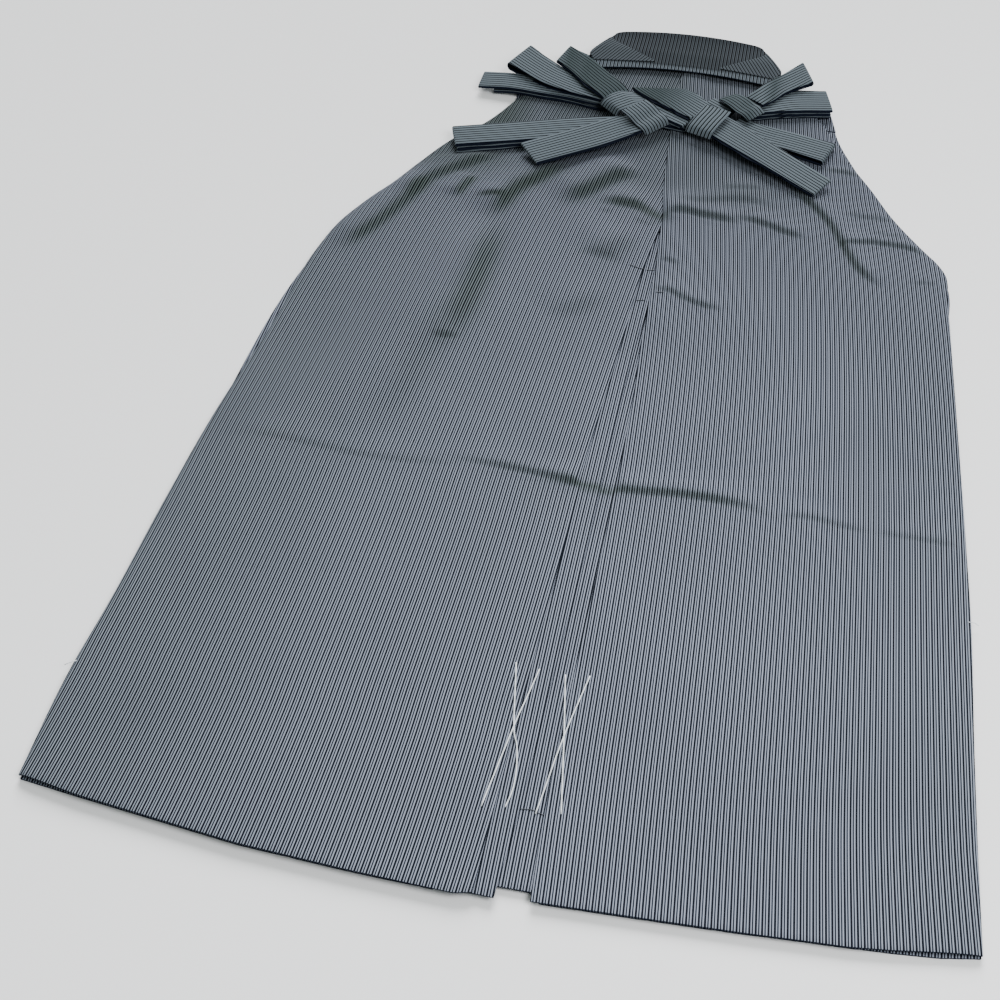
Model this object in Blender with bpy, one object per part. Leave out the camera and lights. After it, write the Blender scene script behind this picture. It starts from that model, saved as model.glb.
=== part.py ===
"""Hakama trousers laid flat with the back up, the ties folded and crossed over the back waist.

Sizes are in metres. x runs across the garment, "along" runs from the hem to the waist, z is up,
and the front of the garment lies on z = 0. Tables give places along the garment from its hem;
to_world() moves them so that the middle of the garment stands over the origin.
"""

import math
from collections import namedtuple

import bmesh
import bpy
from mathutils import Vector

# ---- Driving sizes -----------------------------------------------------------------------------
CLOTH = 0.0012  # wall of one layer of cloth with its turned edges
FRONT_CLOTH = 0.0020  # wall of the pleated front, pressed flat
BOARD = 0.0040  # stiff waist board with its cover
ROOT_CLOTH = 0.0010  # tie root sewn on the board
GAP = 0.0003  # clearance between pieces that touch
NOTCH_DEPTH = 0.0018  # how far the edge of a folded tie opens between its layers
EDGE_STAGGER = 0.0005  # how far the edges of a folded tie's layers lie from each other

MIDDLE_X = -0.0057  # middle of the widest place of the garment
MIDDLE_ALONG = 0.47876  # middle of its length, hem to top of the board
GARMENT_NAME = "hakama_trousers"

FRONT_SEAM_X = 0.0100  # seam between the two front panels
WAISTBAND_ALONG = 0.8290  # lower edge of the front waistband
WAISTBAND_TOP = 0.8530

FRONT_TOP_Z = FRONT_CLOTH
CENTRE_PLEAT_Z = FRONT_TOP_Z + GAP
LEFT_PLEAT_Z = CENTRE_PLEAT_Z + CLOTH + GAP
LEFT_BACK_Z = LEFT_PLEAT_Z + CLOTH + GAP
RIGHT_BACK_Z = CENTRE_PLEAT_Z + CLOTH + GAP
WAIST_BACK_Z = 0.0030  # under the ties, where only the front lies below the back panels
LIFT_MOST = 0.0032  # folds rise no more than this
# Each of these is where a change of height starts and where it is complete.
TO_WAIST = (0.657, 0.715)  # along: the pleats end and the back comes down on the front
UNDER_TIES = (0.700, 0.720)  # along: the ties press the folds flat
RIGHT_OVER_PLEAT = (0.490, 0.530)  # along: the right panel climbs on the left inner pleat
RIGHT_OVER_LEFT = (0.585, 0.625)  # along: the right panel climbs on the left panel
FOLD_STEP = (0.012, 0.034)  # in from the centre fold: the right panel comes down again

ROLL = 0.0130  # width over which a side edge rolls down to the front
ROLL_COLUMNS = (0.0, 0.0016, 0.0045, 0.0085)
PANEL_COLUMNS = 19
FRONT_COLUMNS = 6

# ---- Outlines ----------------------------------------------------------------------------------
Side = namedtuple("Side", "along left right")
BACK_SIDES = (
    Side(0.000, -0.2935, 0.2829),
    Side(0.105, -0.2943, 0.2796),
    Side(0.150, -0.2915, 0.2783),
    Side(0.260, -0.2880, 0.2759),
    Side(0.333, -0.2846, 0.2722),
    Side(0.462, -0.2726, 0.2648),
    Side(0.561, -0.2657, 0.2590),
    Side(0.602, -0.2568, 0.2565),
    Side(0.626, -0.2470, 0.2551),
    Side(0.644, -0.2385, 0.2476),
    Side(0.661, -0.2292, 0.2352),
    Side(0.700, -0.2120, 0.2098),
    Side(0.742, -0.1915, 0.1880),
    Side(0.776, -0.1670, 0.1690),
    Side(0.818, -0.1474, 0.1490),
    Side(0.853, -0.1310, 0.1310),
    Side(0.890, -0.1080, 0.1090),
    Side(0.918, -0.0900, 0.0930),
)
FRONT_SIDES = (
    Side(0.000, -0.2925, 0.2824),
    Side(0.150, -0.2905, 0.2775),
    Side(0.333, -0.2836, 0.2712),
    Side(0.561, -0.2647, 0.2580),
    Side(0.626, -0.2460, 0.2541),
    Side(0.661, -0.2282, 0.2342),
    Side(0.742, -0.1905, 0.1880),
    Side(0.776, -0.1680, 0.1716),
    Side(0.814, -0.1500, 0.1562),
    Side(0.853, -0.1474, 0.1472),
)
BACK_ROWS = (
    0.000, 0.012, 0.030, 0.060, 0.105, 0.150, 0.205, 0.260, 0.300, 0.319, 0.3275, 0.3335, 0.3395,
    0.348, 0.370, 0.410, 0.443, 0.480, 0.515, 0.5475, 0.575, 0.602, 0.626, 0.644, 0.661, 0.680,
    0.700, 0.720, 0.742, 0.776, 0.818, 0.853, 0.890, 0.918,
)
FRONT_ROWS = (0.000, 0.030, 0.150, 0.333, 0.462, 0.561, 0.626, 0.661, 0.742, 0.776, 0.814, 0.8287)
PLEAT_ROWS = (0.000, 0.030, 0.096, 0.175, 0.255, 0.344, 0.443, 0.493, 0.5475, 0.600, 0.650)

Hem = namedtuple("Hem", "x along")
BACK_HEM = (
    Hem(-0.2935, 0.0161),
    Hem(-0.2518, 0.0092),
    Hem(-0.1474, -0.0017),
    Hem(-0.0779, -0.0052),
    Hem(-0.0148, -0.0077),
    Hem(-0.0043, -0.0047),
    Hem(0.0295, -0.0032),
    Hem(0.0965, -0.0002),
    Hem(0.1527, 0.0022),
    Hem(0.1875, 0.0052),
    Hem(0.2327, 0.0087),
    Hem(0.2829, 0.0142),
)
FRONT_HEM = (
    Hem(-0.2925, 0.0150),
    Hem(-0.2518, 0.0100),
    Hem(-0.1474, 0.0020),
    Hem(0.0, 0.0040),
    Hem(0.1200, 0.0020),
    Hem(0.1700, 0.0015),
    Hem(0.2327, 0.0058),
    Hem(0.2824, 0.0118),
)
LEFT_PLEAT_HEM = (Hem(-0.20, 0.0050), Hem(-0.02, -0.0050), Hem(0.01, -0.0057))
CENTRE_PLEAT_HEM = (Hem(-0.05, 0.0017), Hem(0.20, 0.0060))
HEM_FADE = 0.080  # the curve of the hem dies out this far up

Fold = namedtuple("Fold", "along x")
LEFT_FOLD = (
    Fold(0.000, -0.0042),
    Fold(0.096, -0.0032),
    Fold(0.175, -0.0022),
    Fold(0.245, -0.0007),
    Fold(0.344, -0.0002),
    Fold(0.443, 0.0033),
    Fold(0.493, 0.0057),
    Fold(0.592, 0.0092),
    Fold(0.644, 0.0155),
    Fold(0.661, 0.0200),
    Fold(0.700, 0.0160),
    Fold(0.790, 0.0100),
    Fold(0.918, 0.0070),
)
RIGHT_FOLD = (
    Fold(0.000, 0.0291),
    Fold(0.046, 0.0266),
    Fold(0.096, 0.0256),
    Fold(0.215, 0.0256),
    Fold(0.344, 0.0251),
    Fold(0.443, 0.0231),
    Fold(0.473, 0.0211),
    Fold(0.543, 0.0191),
    Fold(0.592, 0.0176),
    Fold(0.642, 0.0152),
    Fold(0.667, 0.0132),
    Fold(0.701, 0.0092),
    Fold(0.726, 0.0072),
    Fold(0.790, 0.0038),
    Fold(0.918, 0.0006),
)
LEFT_PLEAT_FOLD = (
    Fold(0.000, 0.0082),
    Fold(0.046, 0.0107),
    Fold(0.146, 0.0122),
    Fold(0.255, 0.0147),
    Fold(0.443, 0.0152),
    Fold(0.493, 0.0167),
    Fold(0.5475, 0.0196),
    Fold(0.650, 0.0225),
)
LEFT_PLEAT_START = -0.2000  # inner edges of the pleats, hidden between front and back
CENTRE_PLEAT_EDGES = (-0.0500, 0.2000)

# ---- Largest folds of the back, as troughs between two soft ridges -----------------------------
Crease = namedtuple("Crease", "x0 along0 x1 along1 height reach")
CREASES = (
    Crease(-0.105, 0.3350, 0.130, 0.3320, 0.0018, 0.0085),
    Crease(-0.240, 0.3330, -0.105, 0.3350, 0.0007, 0.0085),
    Crease(0.130, 0.3320, 0.250, 0.3290, 0.0007, 0.0085),
    Crease(0.120, 0.7200, 0.166, 0.6560, 0.0022, 0.0110),
    Crease(0.166, 0.6560, 0.192, 0.6130, 0.0018, 0.0110),
    Crease(0.170, 0.6560, 0.235, 0.6620, 0.0015, 0.0090),
    Crease(-0.150, 0.7300, -0.205, 0.6750, 0.0018, 0.0120),
    Crease(-0.205, 0.6750, -0.237, 0.5900, 0.0015, 0.0110),
    Crease(-0.098, 0.7250, -0.122, 0.6520, 0.0022, 0.0110),
    Crease(-0.122, 0.6520, -0.146, 0.6180, 0.0015, 0.0100),
    Crease(-0.045, 0.6600, -0.004, 0.6650, 0.0013, 0.0080),
    Crease(0.040, 0.6650, 0.130, 0.6620, 0.0013, 0.0090),
)

# ---- Waist board -------------------------------------------------------------------------------
# under is the height of the board's underside, thick the height of its edge or of the board there
BoardRow = namedtuple("BoardRow", "along left right under thick")
BOARD_ROWS = (
    BoardRow(0.8836, -0.0812, 0.0853, 0.0064, 0.0046),
    BoardRow(0.8860, -0.0826, 0.0866, 0.0062, 0.0047),
    BoardRow(0.8930, -0.0858, 0.0897, 0.0061, 0.0041),
    BoardRow(0.9072, -0.0915, 0.0950, 0.0061, BOARD),
    BoardRow(0.9220, -0.0860, 0.0890, 0.0059, BOARD),
    BoardRow(0.9381, -0.0801, 0.0820, 0.0035, BOARD),
    BoardRow(0.9500, -0.0742, 0.0755, 0.0012, 0.0052),
    BoardRow(0.9555, -0.0700, 0.0708, 0.0005, 0.0065),
    BoardRow(0.9577, -0.0640, 0.0648, 0.0003, 0.0070),
)
BOARD_COLUMNS = 12
BOARD_HALF = 0.0880  # half the board's width at its roots
LOWER_BOW = 0.0105  # how far the middle of the lower edge lies above its corners
UPPER_BOW = 0.0074
LOWER_BOW_END = 0.9300  # where the lower bow has died out and the upper one starts

RootRow = namedtuple("RootRow", "outer_along tip_along")
ROOT_LOWER = RootRow(0.9040, 0.9030)
ROOT_UPPER = RootRow(0.9370, 0.9050)
ROOT_TIP_X = 0.0275
ROOT_INSET = 0.0006  # how far a root stays in from the side of the board
ROOT_COLUMNS = 6
ROOT_ROWS = 3

# ---- Ties --------------------------------------------------------------------------------------
# top is the height of the upper face; lean turns the edge from square across, in degrees
Station = namedtuple("Station", "x along top width lean", defaults=(0.0,))
Loop = namedtuple("Loop", "x along top width open lean", defaults=(0.0,))

BUNDLES = (
    # name, layers, stations
    ("tie_left_level", 4, (
        Station(-0.1851, 0.8420, 0.0078, 0.0265),
        Station(-0.1550, 0.8415, 0.0100, 0.0260),
        Station(-0.1252, 0.8381, 0.0104, 0.0255),
        Station(-0.0956, 0.8351, 0.0104, 0.0250),
        Station(-0.0641, 0.8293, 0.0104, 0.0240),
        Station(-0.0520, 0.8290, 0.0104, 0.0230),
    )),
    ("tie_left_lower", 5, (
        Station(-0.1877, 0.7370, 0.0118, 0.0285),
        Station(-0.1390, 0.7533, 0.0119, 0.0290),
        Station(-0.0908, 0.7705, 0.0119, 0.0290),
        Station(-0.0440, 0.7855, 0.0119, 0.0280),
    )),
    ("tie_left_end", 2, (
        Station(-0.1150, 0.7203, 0.0142, 0.0335),
        Station(-0.0904, 0.7378, 0.0149, 0.0340),
        Station(-0.0619, 0.7600, 0.0149, 0.0340),
        Station(-0.0400, 0.7790, 0.0149, 0.0320),
        Station(-0.0262, 0.7898, 0.0149, 0.0270),
    )),
    ("tie_upper_left", 2, (
        Station(-0.1136, 0.8868, 0.0181, 0.0300, 26.0),
        Station(-0.0951, 0.8704, 0.0183, 0.0330, 28.0),
        Station(-0.0722, 0.8461, 0.0183, 0.0310, 20.0),
        Station(-0.0565, 0.8310, 0.0183, 0.0285, 8.0),
    )),
    ("tie_centre_upper", 2, (
        Station(-0.0155, 0.8440, 0.0179, 0.0490, -47.0),
        Station(0.0035, 0.8310, 0.0178, 0.0430, -31.0),
        Station(0.0290, 0.8100, 0.0178, 0.0275, -6.0),
    )),
    ("tie_centre_lower", 3, (
        Station(-0.0172, 0.8207, 0.0148, 0.0195),
        Station(-0.0010, 0.8100, 0.0148, 0.0200),
        Station(0.0180, 0.7985, 0.0148, 0.0180),
    )),
    ("tie_centre_link", 3, (
        Station(-0.0050, 0.8055, 0.0103, 0.0170),
        Station(0.0200, 0.8010, 0.0103, 0.0170),
    )),
    ("tie_right_end", 2, (
        Station(0.0370, 0.8050, 0.0146, 0.0320, 15.0),
        Station(0.0477, 0.7977, 0.0144, 0.0335, 15.0),
        Station(0.0747, 0.7772, 0.0142, 0.0330, 15.0),
        Station(0.1062, 0.7540, 0.0132, 0.0312, 12.0),
        Station(0.1451, 0.7259, 0.0110, 0.0288, 8.0),
    )),
    ("tie_right_level", 5, (
        Station(0.0680, 0.8375, 0.0119, 0.0220),
        Station(0.0840, 0.8460, 0.0119, 0.0250),
        Station(0.1087, 0.8576, 0.0119, 0.0330),
        Station(0.1422, 0.8664, 0.0112, 0.0330),
    )),
    ("tie_under_right_knot", 4, (
        Station(0.0340, 0.8445, 0.0106, 0.0120),
        Station(0.0540, 0.8300, 0.0106, 0.0120),
    )),
    ("tie_back_left", 2, (
        Station(-0.0980, 0.9085, 0.0080, 0.0163),
        Station(-0.1015, 0.9020, 0.0080, 0.0200),
        Station(-0.1085, 0.8900, 0.0075, 0.0180),
    )),
    ("tie_back_right", 2, (
        Station(0.1002, 0.9093, 0.0080, 0.0190),
        Station(0.1050, 0.9045, 0.0080, 0.0200),
        Station(0.1120, 0.8960, 0.0075, 0.0180),
    )),
)
LOOPS = (
    ("tie_left_loop", (
        Loop(-0.0560, 0.8280, 0.0137, 0.0200, 0.0005),
        Loop(-0.0781, 0.8346, 0.0139, 0.0240, 0.0007),
        Loop(-0.0988, 0.8425, 0.0145, 0.0300, 0.0013, 13.0),
        Loop(-0.1183, 0.8520, 0.0150, 0.0350, 0.0018, 18.0),
        Loop(-0.1379, 0.8658, 0.0155, 0.0370, 0.0024, 20.0),
        Loop(-0.1550, 0.8797, 0.0158, 0.0390, 0.0032, 17.0),
    )),
    ("tie_right_loop", (
        Loop(0.0600, 0.8130, 0.0104, 0.0200, 0.0034),
        Loop(0.0840, 0.8005, 0.0104, 0.0270, 0.0034),
        Loop(0.1173, 0.7912, 0.0104, 0.0290, 0.0034),
        Loop(0.1460, 0.7825, 0.0104, 0.0320, 0.0034),
    )),
    ("tie_upper_right_loop", (
        Loop(0.0748, 0.8450, 0.0152, 0.0200, 0.0005),
        Loop(0.0829, 0.8575, 0.0152, 0.0235, 0.0005, -8.0),
        Loop(0.0939, 0.8745, 0.0154, 0.0250, 0.0008, -18.0),
        Loop(0.1062, 0.8880, 0.0160, 0.0285, 0.0014, -22.0),
        Loop(0.1190, 0.9022, 0.0170, 0.0355, 0.0024, -28.0),
    )),
)
BANDS = (
    ("knot_left_band", (
        Station(-0.0572, 0.8035, 0.0140, 0.0250),
        Station(-0.0550, 0.8058, 0.0180, 0.0250),
        Station(-0.0510, 0.8090, 0.0199, 0.0265),
        Station(-0.0463, 0.8135, 0.0200, 0.0280),
        Station(-0.0400, 0.8200, 0.0196, 0.0270),
        Station(-0.0335, 0.8265, 0.0165, 0.0245),
        Station(-0.0268, 0.8338, 0.0134, 0.0225),
    )),
    ("knot_left_wrap", (
        Station(-0.0335, 0.8056, 0.0215, 0.0310),
        Station(-0.0250, 0.7984, 0.0205, 0.0315),
        Station(-0.0180, 0.7925, 0.0176, 0.0320),
        Station(-0.0120, 0.7875, 0.0166, 0.0320),
        Station(-0.0090, 0.7850, 0.0140, 0.0300),
        Station(-0.0080, 0.7842, 0.0116, 0.0290),
    )),
    ("knot_right_band", (
        Station(0.0290, 0.7815, 0.0125, 0.0250),
        Station(0.0301, 0.7845, 0.0160, 0.0255),
        Station(0.0325, 0.7900, 0.0181, 0.0256),
        Station(0.0365, 0.8000, 0.0194, 0.0256),
        Station(0.0409, 0.8120, 0.0194, 0.0260),
        Station(0.0430, 0.8190, 0.0194, 0.0260),
    )),
    ("knot_right_wrap", (
        Station(0.0485, 0.8520, 0.0125, 0.0190),
        Station(0.0530, 0.8465, 0.0150, 0.0220),
        Station(0.0600, 0.8385, 0.0167, 0.0235),
        Station(0.0680, 0.8300, 0.0168, 0.0245),
        Station(0.0745, 0.8240, 0.0168, 0.0240),
        Station(0.0790, 0.8205, 0.0140, 0.0220),
    )),
)
TIP_STEPS = 6  # faces round the tip of a folded loop

Paint = namedtuple("Paint", "red green blue roughness")
CLOTH_PAINT = Paint(0.105, 0.125, 0.155, 0.55)
BOARD_PAINT = Paint(0.040, 0.055, 0.060, 0.60)
TIE_PAINT = Paint(0.075, 0.100, 0.110, 0.55)


def clear_scene():
    for obj in list(bpy.data.objects):
        bpy.data.objects.remove(obj, do_unlink=True)


def make_material(name, paint):
    material = bpy.data.materials.new(name)
    material.use_nodes = True
    shader = material.node_tree.nodes["Principled BSDF"]
    shader.inputs["Base Color"].default_value = (paint.red, paint.green, paint.blue, 1.0)
    shader.inputs["Roughness"].default_value = paint.roughness
    shader.inputs["Metallic"].default_value = 0.0
    return material


def to_world(x, along, z):
    return Vector((x - MIDDLE_X, along - MIDDLE_ALONG, z))


def read(table, key, column, value):
    """The column's value where the key column holds this value, by straight lines between rows."""
    rows = [(getattr(row, key), getattr(row, column)) for row in table]
    if value <= rows[0][0]:
        return rows[0][1]
    for (low, first), (high, second) in zip(rows, rows[1:]):
        if value <= high:
            return first + (second - first) * (value - low) / (high - low)
    return rows[-1][1]


def ease(low, high, value):
    """0 below low, 1 above high, and a soft S between."""
    t = min(max((value - low) / (high - low), 0.0), 1.0)
    return t * t * (3.0 - 2.0 * t)


def hem_shift(hem, x, along):
    return read(hem, "x", "along", x) * max(0.0, 1.0 - along / HEM_FADE)


def crease_lift(x, along):
    """How far the folds raise the back here: two soft ridges beside each trough."""
    lift = 0.0
    for crease in CREASES:
        run = Vector((crease.x1 - crease.x0, crease.along1 - crease.along0))
        here = Vector((x - crease.x0, along - crease.along0))
        t = here.dot(run) / run.length_squared
        off = abs(run.x * here.y - run.y * here.x) / run.length
        ends = ease(-0.12, 0.15, t) * ease(-0.12, 0.15, 1.0 - t)
        ridge = math.exp(-(((off - crease.reach) / (0.6 * crease.reach)) ** 2))
        lift += crease.height * ends * ridge
    return min(lift, LIFT_MOST)


def rolled(z, edge_distance):
    """The height z, brought down to the front in a round over the last ROLL of the panel."""
    reach = min(edge_distance / ROLL, 1.0)
    return FRONT_TOP_Z + GAP + (z - FRONT_TOP_Z - GAP) * math.sqrt(1.0 - (1.0 - reach) ** 2)


def to_waist(z, along):
    """The height z, brought down where the pleats end and only the front lies below the back."""
    return z + (WAIST_BACK_Z - z) * ease(*TO_WAIST, along)


def left_under(x, along, edge_distance):
    from_fold = read(LEFT_FOLD, "along", "x", along) - x
    below_right = ease(*RIGHT_OVER_LEFT, along) * (1.0 - ease(*FOLD_STEP, from_fold))
    flat = max(below_right, ease(*UNDER_TIES, along))
    z = to_waist(LEFT_BACK_Z, along) + crease_lift(x, along) * (1.0 - flat)
    return rolled(z, edge_distance)


def right_under(x, along, edge_distance):
    from_fold = x - read(RIGHT_FOLD, "along", "x", along)
    z = to_waist(RIGHT_BACK_Z, along)
    over_pleat = (LEFT_PLEAT_Z + CLOTH + GAP - z) * ease(*RIGHT_OVER_PLEAT, along)
    over_pleat *= 1.0 - ease(*TO_WAIST, along)
    over_left = (to_waist(LEFT_BACK_Z, along) + CLOTH + GAP - z) * ease(*RIGHT_OVER_LEFT, along)
    step = max(over_pleat, over_left) * (1.0 - ease(*FOLD_STEP, from_fold))
    lift = crease_lift(x, along) * (1.0 - ease(*UNDER_TIES, along)) * ease(*FOLD_STEP, from_fold)
    return rolled(z + max(step, lift), edge_distance)


def finish(name, bm, material):
    """Faces out, and the mesh becomes an object of the garment's collection."""
    bmesh.ops.recalc_face_normals(bm, faces=bm.faces[:])
    mesh = bpy.data.meshes.new(name)
    bm.to_mesh(mesh)
    bm.free()
    mesh.materials.append(material)
    mesh.shade_smooth()
    mesh.set_sharp_from_angle(angle=math.radians(35.0))
    obj = bpy.data.objects.new(name, mesh)
    bpy.data.collections[GARMENT_NAME].objects.link(obj)
    return obj


def cloth_wall(name, material, columns, rows, place, wall):
    """A grid of columns by rows, laid by place(column, row), with wall(column, row) of cloth on it."""
    bm = bmesh.new()
    bmesh.ops.create_grid(bm, x_segments=columns - 1, y_segments=rows - 1, size=0.5)
    cells = {}
    for vert in bm.verts:
        column = round((vert.co.x + 0.5) * (columns - 1))
        row = round((vert.co.y + 0.5) * (rows - 1))
        cells[vert.index] = (column, row)
        vert.co = place(column, row)
    thickness = {tuple(v.co): wall(*cells[v.index]) for v in bm.verts}
    raised = bmesh.ops.extrude_face_region(bm, geom=bm.faces[:])["geom"]
    for item in raised:
        if isinstance(item, bmesh.types.BMVert):
            item.co.z += thickness[tuple(item.co)]
    return finish(name, bm, material)


def back_panel(name, material, side, fold, under):
    """side is -1 for the left panel and 1 for the right; its columns run from the rolled edge in."""
    columns = len(ROLL_COLUMNS) + PANEL_COLUMNS
    column_name = "left" if side < 0 else "right"

    def place(column, row):
        along = BACK_ROWS[row]
        outer = read(BACK_SIDES, "along", column_name, along)
        width = abs(outer - read(fold, "along", "x", along))
        if column < len(ROLL_COLUMNS):
            inward = ROLL_COLUMNS[column]
        else:
            step = (column - len(ROLL_COLUMNS)) / (PANEL_COLUMNS - 1)
            inward = ROLL + (width - ROLL) * step
        x = outer - side * inward
        return to_world(x, along + hem_shift(BACK_HEM, x, along), under(x, along, inward))

    return cloth_wall(name, material, columns, len(BACK_ROWS), place, lambda column, row: CLOTH)


def front_panel(name, material, side):
    column_name = "left" if side < 0 else "right"

    def place(column, row):
        along = FRONT_ROWS[row]
        outer = read(FRONT_SIDES, "along", column_name, along)
        seam = FRONT_SEAM_X + side * GAP / 2
        x = outer + (seam - outer) * column / (FRONT_COLUMNS - 1)
        return to_world(x, along + hem_shift(FRONT_HEM, x, along), 0.0)

    return cloth_wall(
        name, material, FRONT_COLUMNS, len(FRONT_ROWS), place, lambda column, row: FRONT_CLOTH
    )


def front_waistband(material):
    rows = (WAISTBAND_ALONG, WAISTBAND_TOP)

    def place(column, row):
        along = rows[row]
        left = read(FRONT_SIDES, "along", "left", along)
        right = read(FRONT_SIDES, "along", "right", along)
        return to_world(left + (right - left) * column / (FRONT_COLUMNS - 1), along, 0.0)

    return cloth_wall(
        "front_waistband", material, FRONT_COLUMNS, 2, place, lambda column, row: FRONT_CLOTH
    )


def inner_pleat(name, material, start, end_fold, hem, z, top_row):
    """A layer between the front and the back, whose edge shows at the centre of the back."""
    rows = [along for along in PLEAT_ROWS if along <= top_row]

    def place(column, row):
        along = rows[row]
        x = start + (end_fold(along) - start) * column / 3
        return to_world(x, along + hem_shift(hem, x, along), z)

    return cloth_wall(name, material, 4, len(rows), place, lambda column, row: CLOTH)


def board_bow(along, across):
    """How far a row is bowed up here; across is -1 at the left side and 1 at the right."""
    lower = LOWER_BOW * (1.0 - ease(BOARD_ROWS[0].along, LOWER_BOW_END, along))
    upper = UPPER_BOW * ease(LOWER_BOW_END, BOARD_ROWS[-1].along, along)
    return (lower + upper) * (1.0 - across**2)


def waist_board(material):
    def place(column, row):
        line = BOARD_ROWS[row]
        out = column / (BOARD_COLUMNS - 1)
        x = line.left + (line.right - line.left) * out
        return to_world(x, line.along + board_bow(line.along, 2.0 * out - 1.0), line.under)

    def wall(column, row):
        return BOARD_ROWS[row].thick

    return cloth_wall("waist_board", material, BOARD_COLUMNS, len(BOARD_ROWS), place, wall)


def board_top(x, along):
    """Height of the board's upper face, with the bow of its rows undone first."""
    across = min(1.0, abs(x) / BOARD_HALF)
    straight = along
    for _ in range(4):
        straight = along - board_bow(straight, across)
    under = read(BOARD_ROWS, "along", "under", straight)
    return under + read(BOARD_ROWS, "along", "thick", straight)


def tie_root(name, material, side):
    """The wide end of a back tie, sewn flat on the board, tapering towards the middle."""

    def place(column, row):
        out = column / (ROOT_COLUMNS - 1)
        lower = ROOT_LOWER.tip_along + (ROOT_LOWER.outer_along - ROOT_LOWER.tip_along) * out
        upper = ROOT_UPPER.tip_along + (ROOT_UPPER.outer_along - ROOT_UPPER.tip_along) * out
        along = lower + (upper - lower) * row / (ROOT_ROWS - 1)
        edge = read(BOARD_ROWS, "along", "left" if side < 0 else "right", along)
        tip = side * ROOT_TIP_X
        x = tip + (edge - side * ROOT_INSET - tip) * out
        return to_world(x, along, board_top(x, along) + 3 * GAP)

    return cloth_wall(
        name, material, ROOT_COLUMNS, ROOT_ROWS, place, lambda column, row: ROOT_CLOTH
    )


def headings(stations):
    """Unit plan direction of the tie at each station."""
    points = [Vector((station.x, station.along)) for station in stations]
    found = []
    for index in range(len(points)):
        before = points[max(index - 1, 0)]
        after = points[min(index + 1, len(points) - 1)]
        found.append((after - before).normalized())
    return found


def loft(name, material, rings):
    """Closed rings of equal counts joined in order, with a cap on each end."""
    bm = bmesh.new()
    loops = [[bm.verts.new(point) for point in ring] for ring in rings]
    for first, second in zip(loops, loops[1:]):
        count = len(first)
        for index in range(count):
            after = (index + 1) % count
            bm.faces.new((first[index], first[after], second[after], second[index]))
    bm.faces.new(loops[0][::-1])
    bm.faces.new(loops[-1])
    return finish(name, bm, material)


def bundle_section(width, layers):
    """Section of a tie folded in layers: (across, up) points, with a notch between the edges."""
    right = []
    for layer in range(layers):
        low = layer * (CLOTH + GAP)
        half = width / 2 - EDGE_STAGGER * (layer * 2 % 3)
        right += [(half, low), (half, low + CLOTH)]
        if layer < layers - 1:
            right += [(half - NOTCH_DEPTH, low + CLOTH), (half - NOTCH_DEPTH, low + CLOTH + GAP)]
    left = [(-across, up) for across, up in reversed(right)]
    return right + left


def edge_direction(station, heading):
    """Direction of the tie's edge-to-edge line: square to its run, turned by the station's lean."""
    aside = Vector((-heading.y, heading.x))
    turn = math.radians(station.lean)
    return Vector((
        aside.x * math.cos(turn) - aside.y * math.sin(turn),
        aside.x * math.sin(turn) + aside.y * math.cos(turn),
    ))


def bundle(name, material, layers, stations):
    height = layers * CLOTH + (layers - 1) * GAP
    rings = []
    for station, heading in zip(stations, headings(stations)):
        aside = edge_direction(station, heading)
        ring = []
        for across, up in bundle_section(station.width, layers):
            spot = Vector((station.x, station.along)) + aside * across
            ring.append(to_world(spot.x, spot.y, station.top - height + up))
        rings.append(ring)
    return loft(name, material, rings)


def ribbon_ring(spot, z, heading, tilt, station):
    """Four corners of one layer whose upper face leans by tilt from straight up towards heading."""
    aside = edge_direction(station, heading) * station.width / 2
    ring = []
    for across, face in ((-1, -1), (1, -1), (1, 1), (-1, 1)):
        plan = spot + aside * across + heading * (face * CLOTH / 2 * math.sin(tilt))
        ring.append(to_world(plan.x, plan.y, z + face * CLOTH / 2 * math.cos(tilt)))
    return ring


def folded_loop(name, material, stations):
    """A tie that runs out on top, turns round at its tip and comes back below."""
    rings = []
    towards = headings(stations)
    for station, heading in zip(stations, towards):
        spot = Vector((station.x, station.along))
        rings.append(ribbon_ring(spot, station.top - CLOTH / 2, heading, 0.0, station))
    tip = stations[-1]
    radius = (CLOTH + tip.open) / 2
    for step in range(1, TIP_STEPS):
        tilt = math.pi * step / TIP_STEPS
        spot = Vector((tip.x, tip.along)) + towards[-1] * radius * math.sin(tilt)
        z = tip.top - CLOTH / 2 - radius + radius * math.cos(tilt)
        rings.append(ribbon_ring(spot, z, towards[-1], tilt, tip))
    for station, heading in zip(reversed(stations), reversed(towards)):
        spot = Vector((station.x, station.along))
        z = station.top - CLOTH * 1.5 - station.open
        rings.append(ribbon_ring(spot, z, heading, math.pi, station))
    return loft(name, material, rings)


def band(name, material, stations):
    """One layer wrapped over the ties below it, leaning as it climbs and falls."""
    rings = []
    towards = headings(stations)
    for index, (station, heading) in enumerate(zip(stations, towards)):
        before = stations[max(index - 1, 0)]
        after = stations[min(index + 1, len(stations) - 1)]
        run = math.hypot(after.x - before.x, after.along - before.along)
        tilt = -math.atan2(after.top - before.top, run)
        spot = Vector((station.x, station.along))
        rings.append(ribbon_ring(spot, station.top - CLOTH / 2, heading, tilt, station))
    return loft(name, material, rings)


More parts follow.
